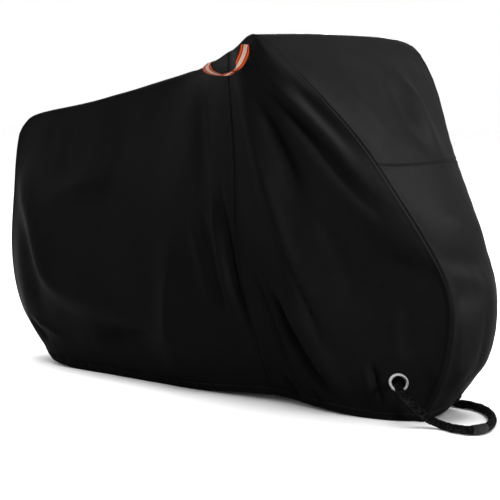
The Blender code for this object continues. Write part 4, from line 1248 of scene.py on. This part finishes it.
def webbing_handle(drape, trim, material):
    """The striped handle, swept along its places and kept clear of the cloth."""
    cloth = near_skin(drape, drape.places)
    smooth = near_skin(drape, drape.smooth_places)
    half, thick = trim.strap_width / 2, trim.strap_thickness
    spots, normals = [], []
    for _, x, z, off, facing in STRAP_PLACES:
        place, normal, _, _ = smooth.ray_cast(Vector((x, -1.0, z)), Vector((0.0, 1.0, 0.0)))
        spots.append(place + normal * (off + 0.0003 + thick / 2))
        normals.append(Vector(facing))
    knots = lengths_along(np.array(spots))
    at = np.linspace(0.0, knots[-1], STRAP_STEPS + 1)
    line = curve_through(knots, np.array(spots), at)
    ups = curve_through(knots, np.array(normals), at)
    runs = unit(np.gradient(line, axis=0))
    shares = np.sin(np.linspace(-1.0, 1.0, STRAP_ACROSS) * math.pi / 2)
    rounded = np.sqrt(np.maximum(0.0, 1.0 - np.abs(shares) ** 8))
    places, uvs = [], []
    for centre, up, run, length in zip(line, ups, runs, at):
        run = Vector(run)
        up = Vector(up)
        flat = (up - run * up.dot(run)).normalized()
        across = run.cross(flat).normalized()
        back, face = [], []
        for share, body in zip(shares, rounded):
            spot = Vector(centre) + across * (share * half)
            inner = clear_of(cloth, spot - flat * (thick / 2 * body), STRAP_CLEARANCE)
            back.append(inner)
            face.append(clear_of(cloth, inner + flat * (thick * body), STRAP_CLEARANCE + thick * body))
        places.append(back + face[::-1] + [back[0]])
        u = list((shares + 1.0) / 2)
        uvs.append([(value, length) for value in u + u[::-1] + [u[0]]])
    piece = grid_piece("handle_webbing", np.array(places) + SHIFT, np.array(uvs), closed=True)
    finish_piece(piece, ["handle"], material)


# ---------------------------------------------------------------- stitching
def rail(drape, grid, lengths, offset):
    """The line on a grid that lies at one length from an edge. lengths grows along the first index."""
    places = drape.places[grid]
    line, ups = [], []
    for j in range(grid.shape[1]):
        at = lengths[:, j]
        line.append([np.interp(offset, at, places[:, j, axis]) for axis in range(3)])
        ups.append([np.interp(offset, at, drape.normals[grid[:, j], axis]) for axis in range(3)])
    return np.array(line), unit(np.array(ups))


def seam_rails(drape):
    """All rows of stitches, as lines with their outward directions."""
    rows = []
    for grid in (drape.near, drape.far):
        girth = lengths_along(drape.places[grid])
        down = lengths_across(drape.places[grid]).T
        rows.append(rail(drape, grid, girth - girth[drape.seam], SIDE_STITCHES))
        for offset in CORNER_STITCHES:
            rows.append(rail(drape, grid[::-1], (girth[-1] - girth)[::-1], offset))
        rows.append(rail(drape, grid, girth, RIDGE_STITCHES))
        rows.append(rail(drape, grid.T, down, RIDGE_STITCHES))
        rows.append(rail(drape, grid[:, ::-1].T, (down[-1] - down)[::-1], HEM_HEIGHT))
    front, spine = drape.front, drape.spine
    down = lengths_along(drape.places[front])
    rows.append(rail(drape, front, down - down[drape.cross], CROSS_STITCHES))
    rows.append(rail(drape, front[::-1], (down[-1] - down)[::-1], HEM_HEIGHT))
    rows.append(rail(drape, spine, lengths_along(drape.places[spine]), HEM_HEIGHT))
    return rows


def stitch_template():
    """One thread stitch lying along X, as places and faces."""
    deselect()
    bpy.ops.mesh.primitive_uv_sphere_add(segments=5, ring_count=4, radius=1.0,
                                         rotation=(0.0, math.pi / 2, 0.0))
    piece = bpy.context.object
    bpy.ops.object.transform_apply(location=True, rotation=True, scale=True)
    places = np.array([vertex.co for vertex in piece.data.vertices])
    faces = [list(polygon.vertices) for polygon in piece.data.polygons]
    bpy.data.objects.remove(piece, do_unlink=True)
    return places, faces


def sew_stitches(drape, cloth, material):
    """All stitches as one piece, lying on the cloth."""
    template, faces = stitch_template()
    template = template * np.array((cloth.stitch_pitch * STITCH_HALF_LENGTH, STITCH_HALF_WIDTH,
                                    STITCH_HALF_HEIGHT))
    eyelets = [np.array(centre) for centre, _ in EYELETS.values()]
    all_places, all_faces = [], []
    for line, ups in seam_rails(drape):
        lengths = lengths_along(line)
        count = int(lengths[-1] / cloth.stitch_pitch)
        at = (np.arange(count) + 0.5) * cloth.stitch_pitch
        middle = read_along(line, lengths, at)
        up = unit(read_along(ups, lengths, at))
        run = unit(read_along(line, lengths, at + STITCH_LOOK) - read_along(line, lengths, at - STITCH_LOOK))
        run = unit(run - up * np.sum(run * up, axis=1, keepdims=True))
        cross = np.cross(up, run)
        for number in range(count):
            if min(float(np.linalg.norm(middle[number] - eyelet)) for eyelet in eyelets) < STITCH_GAP:
                continue
            base = len(all_places) * len(template)
            turn = np.stack((run[number], cross[number], up[number]))
            all_places.append(template @ turn + middle[number] + up[number] * STITCH_LIFT)
            all_faces += [[base + corner for corner in face] for face in faces]
    mesh = bpy.data.meshes.new("seam_stitches")
    mesh.from_pydata((np.concatenate(all_places) + SHIFT).tolist(), [], all_faces)
    piece = bpy.data.objects.new("seam_stitches", mesh)
    bpy.context.scene.collection.objects.link(piece)
    mesh.shade_smooth()
    finish_piece(piece, [], material)


# ---------------------------------------------------------------- operators
class COVER_OT_camera(bpy.types.Operator):
    """Set the camera at the photograph's angle"""
    bl_idname = "cover.camera"
    bl_label = "Camera"

    def execute(self, context):
        turn, lift = math.radians(CAMERA_TURN), math.radians(CAMERA_LIFT)
        back = Vector((math.sin(turn) * math.cos(lift), -math.cos(turn) * math.cos(lift), math.sin(lift)))
        bpy.ops.object.camera_add(location=Vector(CAMERA_AIM) + back * CAMERA_AWAY)
        camera = context.object
        camera.rotation_euler = back.to_track_quat("Z", "Y").to_euler()
        camera.data.sensor_width = SENSOR_WIDTH
        camera.data.lens = SENSOR_WIDTH * CAMERA_FOCAL / PICTURE_WIDTH
        context.scene.camera = camera
        return {"FINISHED"}


class COVER_OT_rope(bpy.types.Operator):
    """Make the sleeved locking rope and its grey joint"""
    bl_idname = "cover.rope"
    bl_label = "Rope"

    def execute(self, context):
        trim = context.scene.cover_trim
        sleeve = rope_tube(rope_finish(), trim.bunching)
        joint = band_ring(band_finish())
        route = rope_line(ROPE_STEP) + SHIFT
        length = float(lengths_along(rope_line(0.002))[-1])
        return {"FINISHED"}


class COVER_OT_cloth(bpy.types.Operator):
    """Drape the seven cloth panels, with their seams, folds and hem"""
    bl_idname = "cover.cloth"
    bl_label = "Cloth panels"

    def execute(self, context):
        cloth = context.scene.cover_cloth
        material = cloth_finish(cloth)
        for name in drape.panels:
            sew_panel(drape, name, cloth, material)
        return {"FINISHED"}


class COVER_OT_stitches(bpy.types.Operator):
    """Sew the rows of stitches along the seams and the hem"""
    bl_idname = "cover.stitches"
    bl_label = "Stitching"

    def execute(self, context):
        sew_stitches(drape, context.scene.cover_cloth, thread_finish())
        return {"FINISHED"}


class COVER_OT_handle(bpy.types.Operator):
    """Make the striped webbing handle"""
    bl_idname = "cover.handle"
    bl_label = "Handle"

    def execute(self, context):
        webbing_handle(drape, context.scene.cover_trim, webbing_finish(context.scene.cover_trim))
        return {"FINISHED"}


class COVER_OT_eyelets(bpy.types.Operator):
    """Turn the two metal eyelets"""
    bl_idname = "cover.eyelets"
    bl_label = "Eyelets"

    def execute(self, context):
        metal = metal_finish()
        for side, (centre, outward) in EYELETS.items():
            turned_ring("eyelet_ring_" + side, eyelet_profile(), centre, outward, ["eyelet_" + side],
                        metal)
        return {"FINISHED"}


class COVER_OT_stage(bpy.types.Operator):
    """Lay the pale floor and set the studio lights"""
    bl_idname = "cover.stage"
    bl_label = "Studio"

    def execute(self, context):
        deselect()
        bpy.ops.mesh.primitive_plane_add(size=FLOOR_SIZE, location=(0.0, 0.0, -FLOOR_DROP))
        floor = context.object
        floor.name = floor.data.name = "studio_floor"
        bpy.ops.object.transform_apply(location=True, rotation=True, scale=True)
        look = Finish("studio floor", Roughness=0.9, Specular_IOR_Level=0.1)
        shade = look.noise(look.places(), 0.4, 1.0)
        look.link("Base Color", look.mix(shade, (0.975, 0.975, 0.975, 1.0), (0.985, 0.985, 0.985, 1.0)))
        floor.data.materials.append(look.material)
        floor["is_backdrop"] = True
        world = bpy.data.worlds.new("studio air")
        world.use_nodes = True
        air = world.node_tree.nodes["Background"].inputs
        air["Color"].default_value = (1.0, 1.0, 1.0, 1.0)
        air["Strength"].default_value = 1.0
        context.scene.world = world
        context.scene.view_settings.view_transform = "Standard"
        lit = bpy.data.collections.new("lit by the softboxes")
        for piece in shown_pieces():
            if piece.name.endswith("_cloth") or piece.name == "seam_stitches":
                lit.objects.link(piece)
        for name, place, aim, size, power in SOFTBOXES:
            bpy.ops.object.light_add(type="AREA", location=place)
            lamp = context.object
            lamp.name = lamp.data.name = name
            lamp.data.shape = "DISK"
            lamp.data.size = size
            lamp.data.energy = power
            gap = Vector(aim) - Vector(place)
            lamp.rotation_euler = gap.to_track_quat("-Z", "Y").to_euler()
            lamp.light_linking.receiver_collection = lit
        bpy.ops.object.light_add(type="AREA", location=(0.0, 0.0, FLOOR_LAMP_HEIGHT))
        lamp = context.object
        lamp.name = lamp.data.name = "floor softbox"
        lamp.data.size = FLOOR_LAMP_SIZE
        lamp.data.energy = FLOOR_LAMP_POWER
        ground = bpy.data.collections.new("lit by the floor softbox")
        ground.objects.link(floor)
        lamp.light_linking.receiver_collection = ground
        return {"FINISHED"}


class COVER_PT_panel(bpy.types.Panel):
    """Lists the cover's steps and sizes"""
    bl_idname = "COVER_PT_panel"
    bl_label = "Bicycle cover"
    bl_space_type = "VIEW_3D"
    bl_region_type = "UI"
    bl_category = "Cover"

    def draw(self, context):
        for group in (context.scene.cover_cloth, context.scene.cover_trim):
            for key in group.__annotations__:
                self.layout.prop(group, key)
        for step in STEPS:
            self.layout.operator(step.bl_idname)


STEPS = (COVER_OT_camera, COVER_OT_rope, COVER_OT_cloth, COVER_OT_stitches, COVER_OT_handle,
         COVER_OT_eyelets, COVER_OT_stage)
CLASSES = (CoverCloth, CoverTrim) + STEPS + (COVER_PT_panel,)


def register():
    for item in CLASSES:
        bpy.utils.register_class(item)
    bpy.types.Scene.cover_cloth = PointerProperty(type=CoverCloth)
    bpy.types.Scene.cover_trim = PointerProperty(type=CoverTrim)


def unregister():
    del bpy.types.Scene.cover_trim
    del bpy.types.Scene.cover_cloth
    for item in reversed(CLASSES):
        bpy.utils.unregister_class(item)


def main():
    register()
    global drape
    drape = Drape(bpy.context.scene.cover_cloth.pucker)
    bpy.ops.cover.camera()
    bpy.ops.cover.rope()
    bpy.ops.cover.cloth()
    bpy.ops.cover.stitches()
    bpy.ops.cover.handle()
    bpy.ops.cover.eyelets()
    bpy.ops.cover.stage()


drape = None

if __name__ == "__main__":
    main()
